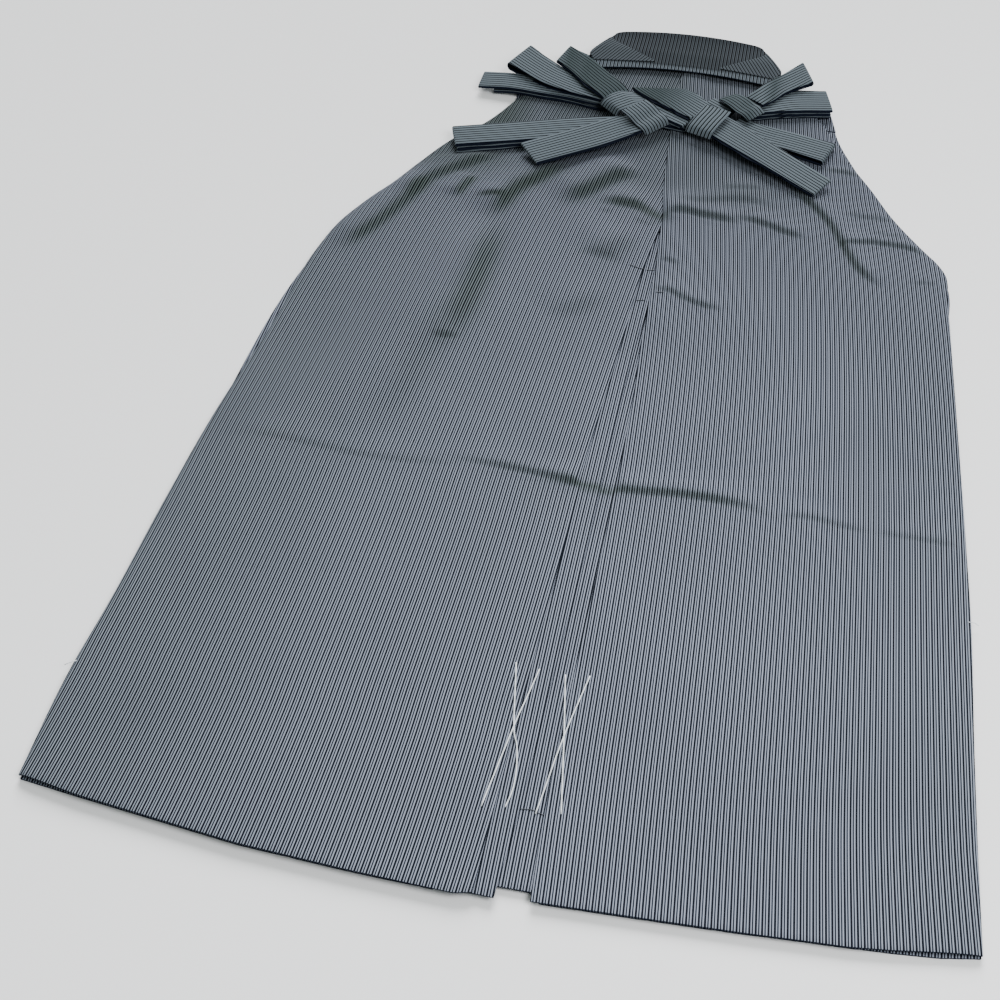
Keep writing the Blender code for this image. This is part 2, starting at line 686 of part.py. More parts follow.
def build_body(cloth):
    for word, side in (("left", -1), ("right", 1)):
        front_panel(f"front_panel_{word}", cloth, side)
    front_waistband(cloth)
    inner_pleat(
        "inner_pleat_centre", cloth, CENTRE_PLEAT_EDGES[1], lambda along: CENTRE_PLEAT_EDGES[0],
        CENTRE_PLEAT_HEM, CENTRE_PLEAT_Z, 0.600,
    )
    inner_pleat(
        "inner_pleat_left", cloth, LEFT_PLEAT_START,
        lambda along: read(LEFT_PLEAT_FOLD, "along", "x", along),
        LEFT_PLEAT_HEM, LEFT_PLEAT_Z, 0.650,
    )
    back_panel("back_panel_left", cloth, -1, LEFT_FOLD, left_under)
    back_panel("back_panel_right", cloth, 1, RIGHT_FOLD, right_under)


def build_waist(board_cloth, tie_cloth):
    waist_board(board_cloth)
    tie_root("tie_root_left", tie_cloth, -1)
    tie_root("tie_root_right", tie_cloth, 1)


def build_ties(tie_cloth):
    for name, layers, stations in BUNDLES:
        bundle(name, tie_cloth, layers, stations)
    for name, stations in LOOPS:
        folded_loop(name, tie_cloth, stations)
    for name, stations in BANDS:
        band(name, tie_cloth, stations)


def main():
    clear_scene()
    garment = bpy.data.collections.new(GARMENT_NAME)
    bpy.context.scene.collection.children.link(garment)
    cloth = make_material("striped_cloth", CLOTH_PAINT)
    board_cloth = make_material("board_cloth", BOARD_PAINT)
    tie_cloth = make_material("tie_cloth", TIE_PAINT)
    build_body(cloth)
    build_waist(board_cloth, tie_cloth)
    build_ties(tie_cloth)


if __name__ == "__main__":
    main()
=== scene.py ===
"""Hakama trousers laid flat with the back up: striped silk, folds, ties and basting on the frame.

Sizes are in metres. x runs across the garment and "along" from the hem to the waist; to_world()
moves both so that the middle of the garment is over the origin. Each piece of cloth is a thin sheet
whose UV map "grain" holds its place in the cloth, across and along the threads.
"""

import math
from collections import namedtuple

import bmesh
import bpy
import numpy as np
from bpy.props import FloatProperty, FloatVectorProperty, PointerProperty
from mathutils import Matrix, Vector


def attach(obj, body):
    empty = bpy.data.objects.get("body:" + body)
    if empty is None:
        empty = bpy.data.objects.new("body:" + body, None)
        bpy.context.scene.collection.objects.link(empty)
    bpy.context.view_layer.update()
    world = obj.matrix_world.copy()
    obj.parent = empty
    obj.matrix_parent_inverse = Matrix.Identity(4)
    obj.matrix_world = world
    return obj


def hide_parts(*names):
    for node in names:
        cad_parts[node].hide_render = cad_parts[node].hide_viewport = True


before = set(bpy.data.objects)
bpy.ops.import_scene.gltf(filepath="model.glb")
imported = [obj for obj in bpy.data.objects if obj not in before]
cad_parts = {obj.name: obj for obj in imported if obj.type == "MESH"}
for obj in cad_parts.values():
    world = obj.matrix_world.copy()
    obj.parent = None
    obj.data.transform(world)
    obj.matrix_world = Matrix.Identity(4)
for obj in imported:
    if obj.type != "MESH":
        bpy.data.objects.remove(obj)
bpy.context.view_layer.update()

bl_info = {
    "name": "Hakama Trousers",
    "version": (1, 0, 0),
    "blender": (4, 5, 0),
    "location": "View3D > Sidebar > Hakama",
    "description": "Dresses the packed frame of a laid-flat hakama in striped cloth",
    "category": "Object",
}

BODY = "root"

# ---- Sizes shared with the solids --------------------------------------------------------------
# RIGHT_SIDE, BACK_HEM and FRONT_HEM are drawn a little more finely than those of the solids.
MIDDLE_X = -0.0057
MIDDLE_ALONG = 0.47876
CLOTH = 0.0012
FRONT_CLOTH = 0.0020
GAP = 0.0003
BACK_TOP = 0.9180
FRONT_TOP = 0.8287
FRONT_SEAM_X = 0.0100
WAISTBAND = (0.8290, 0.8530)
PLEAT_STARTS = (-0.2000, 0.2000)
PLEAT_TOPS = (0.650, 0.600)
CENTRE_PLEAT_LEFT = -0.0500

CENTRE_PLEAT_Z = FRONT_CLOTH + GAP
LEFT_PLEAT_Z = CENTRE_PLEAT_Z + CLOTH + GAP
LEFT_BACK_Z = LEFT_PLEAT_Z + CLOTH + GAP
RIGHT_BACK_Z = CENTRE_PLEAT_Z + CLOTH + GAP
WAIST_BACK_Z = 0.0030
ROLL = 0.0130
HEM_FADE = 0.080

# Each of these is where a change of height starts and where it is complete.
TO_WAIST = (0.657, 0.715)
RIGHT_OVER_PLEAT = (0.490, 0.530)
RIGHT_OVER_LEFT = (0.585, 0.625)
FOLD_STEP = (0.012, 0.034)

# along, x
LEFT_SIDE = (
    (0.000, -0.2935), (0.105, -0.2943), (0.150, -0.2915), (0.260, -0.2880), (0.333, -0.2846),
    (0.462, -0.2726), (0.561, -0.2657), (0.602, -0.2568), (0.626, -0.2470), (0.644, -0.2385),
    (0.661, -0.2292), (0.700, -0.2120), (0.742, -0.1915), (0.776, -0.1670), (0.818, -0.1474),
    (0.853, -0.1310), (0.890, -0.1080), (0.918, -0.0900),
)
RIGHT_SIDE = (
    (0.000, 0.2829), (0.105, 0.2796), (0.150, 0.2783), (0.260, 0.2759), (0.333, 0.2722),
    (0.462, 0.2648), (0.561, 0.2590), (0.602, 0.2566), (0.621, 0.2564), (0.631, 0.2547),
    (0.644, 0.2485), (0.661, 0.2360), (0.700, 0.2098), (0.742, 0.1880), (0.776, 0.1690),
    (0.818, 0.1490), (0.853, 0.1310), (0.890, 0.1090), (0.918, 0.0930),
)
FRONT_LEFT_SIDE = (
    (0.000, -0.2925), (0.150, -0.2905), (0.333, -0.2836), (0.561, -0.2647), (0.626, -0.2460),
    (0.661, -0.2282), (0.742, -0.1905), (0.776, -0.1680), (0.814, -0.1500), (0.853, -0.1474),
)
FRONT_RIGHT_SIDE = (
    (0.000, 0.2824), (0.150, 0.2775), (0.333, 0.2712), (0.561, 0.2580), (0.626, 0.2541),
    (0.661, 0.2342), (0.742, 0.1880), (0.776, 0.1716), (0.814, 0.1562), (0.853, 0.1472),
)
LEFT_FOLD = (
    (0.000, -0.0042), (0.096, -0.0032), (0.175, -0.0022), (0.245, -0.0007), (0.344, -0.0002),
    (0.443, 0.0033), (0.493, 0.0057), (0.592, 0.0092), (0.644, 0.0155), (0.661, 0.0200),
    (0.700, 0.0160), (0.790, 0.0100), (0.918, 0.0070),
)
RIGHT_FOLD = (
    (0.000, 0.0291), (0.046, 0.0266), (0.096, 0.0256), (0.215, 0.0256), (0.344, 0.0251),
    (0.443, 0.0231), (0.473, 0.0211), (0.543, 0.0191), (0.592, 0.0176), (0.642, 0.0152),
    (0.667, 0.0132), (0.701, 0.0092), (0.726, 0.0072), (0.790, 0.0038), (0.918, 0.0006),
)
LEFT_PLEAT_FOLD = (
    (0.000, 0.0082), (0.046, 0.0107), (0.146, 0.0122), (0.255, 0.0147), (0.443, 0.0152),
    (0.493, 0.0167), (0.5475, 0.0196), (0.650, 0.0225),
)

# x, along
BACK_HEM = (
    (-0.2935, 0.0161), (-0.2518, 0.0088), (-0.1474, -0.0029), (-0.0779, -0.0064),
    (-0.0148, -0.0082), (-0.0043, -0.0055), (0.0295, -0.0036), (0.0965, -0.0006),
    (0.1527, 0.0022), (0.1875, 0.0045), (0.2080, 0.0056), (0.2327, 0.0087),
    (0.2600, 0.0132), (0.2829, 0.0162),
)
FRONT_HEM = (
    (-0.2925, 0.0152), (-0.2518, 0.0104), (-0.1474, -0.0010), (-0.0779, -0.0044),
    (-0.0280, -0.0054), (-0.0080, 0.0035), (0.0000, 0.0040), (0.0270, 0.0040),
    (0.0340, -0.0022), (0.0965, 0.0006), (0.1450, 0.0030), (0.1700, 0.0048),
    (0.2020, 0.0067), (0.2327, 0.0088), (0.2600, 0.0115), (0.2824, 0.0158),
)
LEFT_PLEAT_HEM = ((-0.20, 0.0050), (-0.02, -0.0050), (0.01, -0.0057))
CENTRE_PLEAT_HEM = ((-0.05, 0.0017), (0.20, 0.0060))

# ---- Folds of the back -------------------------------------------------------------------------
# A fold is a slope that faces the hem or the right, along its points from left to right. Across
# the width "soft" the cloth rises by "drop", and then sinks back slowly over "tail" widths. Below
# the slope stands a low crisp lip. "fade" is the share of the length that each end takes. Each
# fold also paints shade on its slope, and "shade" scales that painted shade.
Fold = namedtuple("Fold", "drop soft lip points fade tail shade", defaults=(0.3, 1.8, 1.0))
FOLDS = (
    # the crease across the middle
    Fold(0.0007, 0.0080, 0.5, ((-0.285, 0.331), (-0.230, 0.331), (-0.151, 0.325), (-0.070, 0.334))),
    Fold(0.0017, 0.0068, 0.5, (
        (-0.110, 0.337), (-0.068, 0.335), (-0.038, 0.333), (-0.008, 0.330), (0.020, 0.327),
        (0.050, 0.325),
    ), 0.40),
    Fold(0.0023, 0.0072, 0.5, (
        (-0.040, 0.327), (0.000, 0.328), (0.043, 0.331), (0.071, 0.334), (0.100, 0.334),
        (0.121, 0.332), (0.148, 0.324),
    ), shade=1.2),
    Fold(0.0009, 0.0060, 0.6, ((0.136, 0.326), (0.164, 0.331), (0.189, 0.327), (0.210, 0.326))),
    Fold(0.0007, 0.0056, 0.6, ((0.205, 0.326), (0.240, 0.326), (0.273, 0.325))),
    # upper left
    Fold(0.0036, 0.0120, 0.3, (
        (-0.214, 0.637), (-0.204, 0.656), (-0.192, 0.677), (-0.179, 0.692), (-0.160, 0.712),
        (-0.138, 0.732),
    ), 0.25, shade=1.4),
    Fold(0.0034, 0.0120, 0.3, (
        (-0.246, 0.556), (-0.234, 0.580), (-0.222, 0.603), (-0.208, 0.636), (-0.198, 0.661),
        (-0.190, 0.676),
    ), 0.25, shade=1.55),
    Fold(0.0026, 0.0084, 0.3, ((-0.168, 0.648), (-0.163, 0.665), (-0.155, 0.689)), shade=1.6),
    Fold(0.0043, 0.0150, 0.3, (
        (-0.137, 0.622), (-0.127, 0.642), (-0.120, 0.664), (-0.113, 0.679), (-0.103, 0.692),
        (-0.091, 0.709), (-0.074, 0.732),
    ), shade=1.85),
    Fold(0.0014, 0.0060, 0.6, ((-0.155, 0.655), (-0.137, 0.657), (-0.119, 0.660)), 0.45, shade=1.8),
    Fold(0.0054, 0.0165, 0.2, (
        (-0.080, 0.658), (-0.060, 0.678), (-0.046, 0.696), (-0.032, 0.713), (-0.006, 0.727),
    ), shade=1.4),
    Fold(0.0034, 0.0120, 0.4, (
        (-0.050, 0.674), (-0.025, 0.672), (-0.009, 0.670), (0.004, 0.663), (0.020, 0.655),
        (0.030, 0.652),
    ), shade=1.65),
    Fold(0.0006, 0.0042, 0.8, ((-0.042, 0.658), (-0.028, 0.657))),
    Fold(0.0008, 0.0049, 0.8, ((-0.012, 0.653), (0.002, 0.648), (0.012, 0.648))),
    Fold(0.0022, 0.0200, 0.2, ((-0.034, 0.590), (-0.018, 0.606), (-0.002, 0.634)), 0.45, shade=1.5),
    Fold(0.0014, 0.0120, 0.2, ((-0.055, 0.600), (-0.030, 0.597), (-0.004, 0.590)), 0.45, shade=1.5),
    Fold(0.0018, 0.0200, 0.2, ((-0.062, 0.505), (-0.038, 0.522), (-0.014, 0.552)), 0.45, shade=1.4),
    Fold(0.0056, 0.0220, 0.2, (
        (-0.132, 0.440), (-0.129, 0.475), (-0.126, 0.500), (-0.124, 0.530), (-0.123, 0.560),
        (-0.122, 0.590), (-0.118, 0.640),
    ), 0.36, 1.6, 1.6),
    Fold(0.0022, 0.0240, 0.1, (
        (-0.160, 0.330), (-0.152, 0.380), (-0.146, 0.430), (-0.140, 0.480), (-0.138, 0.530),
    ), 0.45, shade=1.3),
    Fold(0.0013, 0.0070, 0.6, ((-0.147, 0.464), (-0.131, 0.467), (-0.118, 0.471)), 0.45),
    # upper right
    Fold(0.0026, 0.0088, 0.4, (
        (0.010, 0.652), (0.020, 0.665), (0.031, 0.671), (0.048, 0.671), (0.066, 0.669),
        (0.086, 0.669),
    ), shade=1.15),
    Fold(0.0021, 0.0072, 0.4, ((0.070, 0.676), (0.100, 0.669), (0.116, 0.662), (0.143, 0.654))),
    Fold(0.0016, 0.0100, 0.3, ((0.012, 0.685), (0.050, 0.693), (0.074, 0.701), (0.116, 0.697))),
    Fold(0.0011, 0.0080, 0.3, ((0.055, 0.714), (0.080, 0.719), (0.100, 0.722))),
    Fold(0.0025, 0.0066, 0.5, (
        (0.116, 0.736), (0.130, 0.717), (0.145, 0.697), (0.157, 0.678), (0.166, 0.657),
        (0.174, 0.639), (0.184, 0.621), (0.197, 0.607), (0.207, 0.600),
    ), 0.18),
    Fold(0.0017, 0.0060, 0.5, (
        (0.161, 0.650), (0.179, 0.657), (0.191, 0.661), (0.204, 0.661), (0.219, 0.660),
        (0.233, 0.656), (0.243, 0.651),
    ), 0.2),
    Fold(0.0016, 0.0070, 0.4, ((0.143, 0.764), (0.161, 0.762), (0.182, 0.760))),
    Fold(0.0010, 0.0070, 0.4, ((0.165, 0.699), (0.193, 0.697), (0.214, 0.698))),
    Fold(0.0007, 0.0070, 0.4, ((0.186, 0.676), (0.206, 0.674), (0.226, 0.674))),
    Fold(0.0016, 0.0062, 0.5, (
        (0.014, 0.562), (0.034, 0.560), (0.045, 0.555), (0.062, 0.549), (0.084, 0.546),
    )),
    Fold(0.0012, 0.0060, 0.5, ((0.014, 0.602), (0.028, 0.600), (0.042, 0.596)), 0.45),
    Fold(0.0007, 0.0056, 0.8, ((0.222, 0.612), (0.237, 0.615), (0.252, 0.616)), 0.45),
)
# Above this line (x, along) the cloth lies flat, without folds or swell.
PRESSED_LINE = (
    (-0.200, 0.7200), (-0.044, 0.7650), (0.030, 0.7680), (0.140, 0.7640), (0.150, 0.7720),
    (0.190, 0.7800),
)
PRESSED_FADE = 0.016
# Folds and swell grow over these distances: from a rolled side, from the fold at the centre, and
# the swell from the hem, which keeps a little of it.
FROM_SIDE = (0.0, 0.010)
FROM_CENTRE = (0.0, 0.006)
FROM_HEM = (0.0, 0.05)
HEM_START = 0.01
FOLD_REACH = (7.0, 0.02)  # how far aside a fold is worked out: in its widths, and metres more
LIP_WIDTH = 0.35  # the lip at the foot of a fold, as a share of the fold's width and drop
LIP_HEIGHT = 0.25
SHADE_MIDDLE = 0.5  # the middle and the reach of a fold's band of painted shade, in widths of the fold
SHADE_REACH = 0.58
STEEP = 0.52  # the slope of a fold at which its painted shade is darkest
# Painted shade on the flat cloth, too: how dark at each x, and the share of it at each place
# along.
FlatShade = namedtuple("FlatShade", "by_x by_along")
FLAT_SHADES = (
    FlatShade((  # the sides of the legs
        (-0.290, 0.41), (-0.240, 0.36), (-0.150, 0.17), (-0.020, 0.08), (0.030, 0.00),
        (0.150, 0.00), (0.230, 0.10), (0.285, 0.21),
    ), ((0.50, 1.0), (0.66, 0.4))),
    FlatShade((  # below the ties
        (-0.160, 0.60), (-0.125, 0.30), (-0.095, 0.28), (-0.060, 0.05), (-0.040, 0.00),
        (-0.012, 0.32), (0.100, 0.30), (0.135, 0.10), (0.160, 0.00),
    ), ((0.67, 0.0), (0.71, 1.0))),
    FlatShade((  # among the ties of the left side
        (-0.150, 0.80), (-0.135, 0.45), (-0.120, 0.10), (-0.105, 0.30), (-0.060, 0.50),
        (0.000, 0.30), (0.020, 0.00),
    ), ((0.740, 0.0), (0.785, 1.0))),
)
# Painted shade on stretches of tie: how dark at each x.
TIE_SHADES = {
    "tie_upper_left": (
        (-0.1136, 0.50), (-0.1070, 1.00), (-0.0950, 0.85), (-0.0870, 1.00), (-0.0580, 0.85),
    ),
    "tie_centre_upper": ((-0.0135, 0.95), (0.0280, 0.00)),
    "tie_upper_right_loop": (
        (0.0750, 0.35), (0.0800, 0.05), (0.0910, 0.80), (0.0980, 0.20), (0.1040, 0.00),
    ),
    "knot_right_wrap": ((0.0480, 0.85), (0.0600, 0.65), (0.0720, 0.70), (0.0790, 0.10)),
}

# ---- Direction of the stripes ------------------------------------------------------------------
# along, how far the stripes go aside for each metre up
LEFT_LEAN = (
    (0.00, 0.062), (0.05, 0.046), (0.085, 0.036), (0.11, 0.004), (0.135, 0.030), (0.18, 0.034),
    (0.25, 0.030), (0.30, 0.004), (0.36, 0.050), (0.43, 0.055), (0.50, 0.066), (0.56, 0.076),
    (0.61, 0.100), (0.67, 0.155), (0.71, 0.150), (0.76, 0.128), (0.92, 0.100),
)
RIGHT_LEAN = (
    (0.00, -0.066), (0.03, -0.066), (0.07, -0.052), (0.12, -0.032), (0.30, -0.029), (0.37, -0.046),
    (0.43, -0.050), (0.50, -0.067), (0.56, -0.080), (0.61, -0.099), (0.67, -0.138),
    (0.71, -0.135), (0.76, -0.110), (0.92, -0.085),
)
PLEAT_LEAN = ((0.00, -0.030), (0.30, 0.000), (0.60, 0.015))
LEAN_END = 0.95  # how far along the lean is added up, and at how many places
LEAN_PLACES = 400

# ---- Waist board -------------------------------------------------------------------------------
BoardRow = namedtuple("BoardRow", "along left right under thick")
BOARD_ROWS = (
    BoardRow(0.8836, -0.0812, 0.0853, 0.0064, 0.0046),
    BoardRow(0.8860, -0.0826, 0.0866, 0.0062, 0.0047),
    BoardRow(0.8930, -0.0858, 0.0897, 0.0061, 0.0041),
    BoardRow(0.9072, -0.0915, 0.0950, 0.0061, 0.0040),
    BoardRow(0.9220, -0.0860, 0.0890, 0.0059, 0.0040),
    BoardRow(0.9381, -0.0801, 0.0820, 0.0035, 0.0040),
    BoardRow(0.9500, -0.0742, 0.0755, 0.0012, 0.0052),
    BoardRow(0.9555, -0.0700, 0.0708, 0.0005, 0.0065),
    BoardRow(0.9577, -0.0640, 0.0648, 0.0003, 0.0070),
)
BOARD_HALF = 0.0880
LOWER_BOW = 0.0105
UPPER_BOW = 0.0074
LOWER_BOW_END = 0.9300
BOARD_LIP = 0.0100
BOARD_LIP_DROP = 0.0022
ROOT_LOWER = (0.8935, 0.9020)
ROOT_UPPER = (0.9440, 0.9045)
ROOT_TIPS = (-0.0275, 0.0365)
ROOT_INSET = 0.0006
ROOT_SEAT = 0.0002
ROOT_CLOTH = 0.0006  # thinner than its solid
ROOT_SLANT = 0.465  # how far its stripes turn from the board's towards the length of the tie
ROOT_CLOSENESS = 1.02  # how close its stripes lie, against those of the panels
BOARD_CLOSENESS = 1.03
BOARD_LEAN = 0.02  # about how far the board's stripes go to the left for each metre up
BOARD_WALL = 0.0038
BOARD_ROUND = 0.0005
LIP_WALL = 0.34  # what the board's lower edge keeps of the wall
UNBOW_ROUNDS = 4

# ---- Ties --------------------------------------------------------------------------------------
Station = namedtuple("Station", "x along top width lean", defaults=(0.0,))
# tip is "first" or "last", the end of the stations where the folds show. peek is how far the
# lowest layer lies out towards the hem, at the knot and at the tip, and short is how far before
# the tip the third and fourth layers end.
Stack = namedtuple(
    "Stack", "name layers tip stations peek short", defaults=((0.0012, 0.0010), 0.0016)
)
STACKS = (
    Stack("tie_left_level", 4, "first", (
        Station(-0.1851, 0.8420, 0.0078, 0.0265), Station(-0.1550, 0.8415, 0.0100, 0.0260),
        Station(-0.1252, 0.8381, 0.0104, 0.0255), Station(-0.0956, 0.8351, 0.0104, 0.0250),
        Station(-0.0641, 0.8293, 0.0104, 0.0240), Station(-0.0520, 0.8290, 0.0104, 0.0230),
    ), (0.0028, 0.0004), 0.0150),
    Stack("tie_left_lower", 5, "first", (
        Station(-0.1877, 0.7370, 0.0118, 0.0285), Station(-0.1390, 0.7533, 0.0119, 0.0290),
        Station(-0.0908, 0.7705, 0.0119, 0.0290), Station(-0.0440, 0.7855, 0.0119, 0.0280),
    ), (0.0006, 0.0044)),
    Stack("tie_left_end", 2, "first", (
        Station(-0.1150, 0.7203, 0.0142, 0.0335), Station(-0.0904, 0.7378, 0.0149, 0.0340),
        Station(-0.0619, 0.7600, 0.0149, 0.0340), Station(-0.0400, 0.7790, 0.0149, 0.0320),
        Station(-0.0262, 0.7898, 0.0149, 0.0270),
    )),
    Stack("tie_upper_left", 2, "first", (
        Station(-0.1136, 0.8868, 0.0181, 0.0300, 26.0),
        Station(-0.0951, 0.8704, 0.0183, 0.0330, 28.0),
        Station(-0.0722, 0.8461, 0.0183, 0.0310, 20.0),
        Station(-0.0565, 0.8310, 0.0176, 0.0285, 8.0),
        Station(-0.0500, 0.8248, 0.0150, 0.0275, 4.0),
    ), (0.0016, 0.0009)),
    Stack("tie_centre_upper", 2, "last", (
        Station(-0.0155, 0.8440, 0.0179, 0.0490, -47.0),
        Station(0.0035, 0.8310, 0.0178, 0.0430, -31.0),
        Station(0.0290, 0.8100, 0.0178, 0.0275, -6.0),
    ), (0.0018, 0.0018)),
    Stack("tie_centre_lower", 3, "last", (
        Station(-0.0172, 0.8207, 0.0148, 0.0195), Station(-0.0010, 0.8100, 0.0148, 0.0200),
        Station(0.0180, 0.7985, 0.0148, 0.0180),
    )),
    Stack("tie_centre_link", 3, "last", (
        Station(-0.0050, 0.8055, 0.0103, 0.0170), Station(0.0200, 0.8010, 0.0103, 0.0170),
    )),
    Stack("tie_right_end", 2, "last", (
        Station(0.0370, 0.8050, 0.0146, 0.0320, 15.0),
        Station(0.0477, 0.7977, 0.0144, 0.0335, 15.0),
        Station(0.0747, 0.7772, 0.0142, 0.0330, 15.0),
        Station(0.1062, 0.7540, 0.0132, 0.0312, 12.0),
        Station(0.1451, 0.7259, 0.0110, 0.0288, 8.0),
    ), (0.0024, 0.0008)),
    Stack("tie_right_level", 5, "last", (
        Station(0.0680, 0.8375, 0.0119, 0.0220), Station(0.0840, 0.8460, 0.0119, 0.0250),
        Station(0.1087, 0.8576, 0.0119, 0.0330), Station(0.1422, 0.8664, 0.0112, 0.0330),
    ), (0.0024, 0.0020)),
    Stack("tie_under_right_knot", 4, "first", (
        Station(0.0340, 0.8445, 0.0106, 0.0120), Station(0.0540, 0.8300, 0.0106, 0.0120),
    )),
    Stack("tie_back_left", 2, "last", (
        Station(-0.0980, 0.9085, 0.0080, 0.0163), Station(-0.1015, 0.9020, 0.0080, 0.0200),
        Station(-0.1085, 0.8900, 0.0075, 0.0180),
    )),
    Stack("tie_back_right", 2, "last", (
        Station(0.1002, 0.9093, 0.0080, 0.0190), Station(0.1050, 0.9045, 0.0080, 0.0200),
        Station(0.1120, 0.8960, 0.0075, 0.0180),
    )),
)
# A loop runs out and comes back below itself; open is the space between its two layers.
Loop = namedtuple("Loop", "x along top width open lean", defaults=(0.0,))
LOOPS = (
    ("tie_left_loop", (
        Loop(-0.0560, 0.8280, 0.0137, 0.0200, 0.0005),
        Loop(-0.0781, 0.8346, 0.0139, 0.0240, 0.0009),
        Loop(-0.0988, 0.8425, 0.0145, 0.0300, 0.0018, 13.0),
        Loop(-0.1183, 0.8520, 0.0150, 0.0350, 0.0030, 18.0),
        Loop(-0.1379, 0.8658, 0.0155, 0.0370, 0.0044, 20.0),
        Loop(-0.1550, 0.8797, 0.0158, 0.0390, 0.0056, 17.0),
    )),
    ("tie_right_loop", (
        Loop(0.0600, 0.8130, 0.0104, 0.0200, 0.0034), Loop(0.0840, 0.8005, 0.0104, 0.0270, 0.0034),
        Loop(0.1173, 0.7912, 0.0104, 0.0290, 0.0034), Loop(0.1460, 0.7825, 0.0104, 0.0320, 0.0034),
    )),
    ("tie_upper_right_loop", (
        Loop(0.0748, 0.8450, 0.0152, 0.0200, 0.0005),
        Loop(0.0829, 0.8575, 0.0152, 0.0235, 0.0005, -8.0),
        Loop(0.0939, 0.8745, 0.0154, 0.0250, 0.0008, -18.0),
        Loop(0.1062, 0.8880, 0.0160, 0.0285, 0.0014, -22.0),
        Loop(0.1190, 0.9022, 0.0170, 0.0355, 0.0024, -28.0),
    )),
)
BANDS = (
    ("knot_left_band", (
        Station(-0.0572, 0.8035, 0.0140, 0.0250), Station(-0.0550, 0.8058, 0.0180, 0.0250),
        Station(-0.0510, 0.8090, 0.0199, 0.0265), Station(-0.0463, 0.8135, 0.0200, 0.0280),
        Station(-0.0400, 0.8200, 0.0196, 0.0270), Station(-0.0335, 0.8265, 0.0165, 0.0245),
        Station(-0.0268, 0.8338, 0.0134, 0.0225),
    )),
    ("knot_left_wrap", (
        Station(-0.0335, 0.8056, 0.0215, 0.0310), Station(-0.0250, 0.7984, 0.0205, 0.0315),
        Station(-0.0180, 0.7925, 0.0176, 0.0320), Station(-0.0120, 0.7875, 0.0166, 0.0320),
        Station(-0.0090, 0.7850, 0.0140, 0.0300), Station(-0.0080, 0.7842, 0.0116, 0.0290),
    )),
    ("knot_right_band", (
        Station(0.0290, 0.7815, 0.0125, 0.0250), Station(0.0301, 0.7845, 0.0160, 0.0255),
        Station(0.0325, 0.7900, 0.0181, 0.0256), Station(0.0365, 0.8000, 0.0194, 0.0256),
        Station(0.0409, 0.8120, 0.0194, 0.0260), Station(0.0430, 0.8190, 0.0194, 0.0260),
    )),
    ("knot_right_wrap", (
        Station(0.0485, 0.8520, 0.0125, 0.0190), Station(0.0530, 0.8465, 0.0150, 0.0220),
        Station(0.0600, 0.8385, 0.0167, 0.0235), Station(0.0680, 0.8300, 0.0168, 0.0245),
        Station(0.0745, 0.8240, 0.0168, 0.0240), Station(0.0790, 0.8205, 0.0140, 0.0220),
    )),
)

# ---- Threads -----------------------------------------------------------------------------------
# Basting that holds the centre pleats shut: x, along of each long stitch.
BASTING = (
    ((0.0030, 0.1599), (-0.0035, 0.1159), (-0.0115, 0.0509)),
    ((-0.0125, 0.1609), (-0.0040, 0.1119), (0.0005, 0.0989), (0.0035, 0.0834), (0.0045, 0.0714),
     (0.0040, 0.0634), (0.0025, 0.0544)),
    ((0.0358, 0.1609), (0.0278, 0.1119), (0.0210, 0.0544)),
    ((0.0200, 0.1600), (0.0278, 0.1119), (0.0362, 0.0564)),
)
# Short dark stitches that hold the pleats where they meet: x, along.
TACKS = (
    ((-0.0034, 0.5872), (0.0028, 0.5850), (0.0088, 0.5836)),
    ((0.0112, 0.5850), (0.0176, 0.5862)),
    ((0.0090, 0.5442), (0.0150, 0.5455)),
    ((0.0226, 0.5556), (0.0292, 0.5566)),
    ((0.0115, 0.0560), (0.0180, 0.0568), (0.0222, 0.0556), (0.0262, 0.0546)),
)
TACK_WIDTH = 0.00055
# Loose ends of sewing thread that stand out of the side edges: x, along, height over the floor.
LOOSE_ENDS = (
    ((-0.2915, 0.1040, 0.0064), (-0.2950, 0.1018, 0.0062), (-0.2985, 0.1000, 0.0050)),
    ((0.2735, 0.2574, 0.0052), (0.2780, 0.2580, 0.0046), (0.2806, 0.2570, 0.0036)),
)

# ---- Fineness of the sheets --------------------------------------------------------------------
PANEL_STEP = 0.00245
PANEL_ROWS, PANEL_COLUMNS = 360, 122
# The rows of a back panel lie closer where the folds are: share of the rows, share of the length.
ROW_PLACES = (
    (0.0, 0.0), (0.186, 0.327), (0.272, 0.381), (0.339, 0.479), (0.928, 0.850), (1.0, 1.0),
)
PLAIN_STEP = 0.0080
GROOVE_STEP = 0.0025
FRONT_HALF = 0.28
WAISTBAND_WIDTH = 0.30
WAISTBAND_ROWS = 5
PLEAT_WIDTH = 0.22
BOARD_STEP = 0.0030
BOARD_ROW_STEP = 0.0022
ROOT_COLUMNS, ROOT_ROWS = 26, 12
TIE_COLUMNS = 9
TIE_STEP = 0.0030
BAND_STEP = 0.0014
TURN_STEPS = 6
LOOP_STEPS = 10
STITCH_POINTS = 40
THREAD_SIDES = 8
EDGE_ROUND = 0.0004
EDGE_ROUND_STEPS = 2
EDGE_ANGLE = math.radians(50.0)  # a sharper edge than this is rounded


# ---- Settings ----------------------------------------------------------------------------------
def colour_setting(name, description, default):
    return FloatVectorProperty(
        name=name, description=description, default=default, size=3, subtype="COLOR",
        min=0.0, max=1.0,
    )


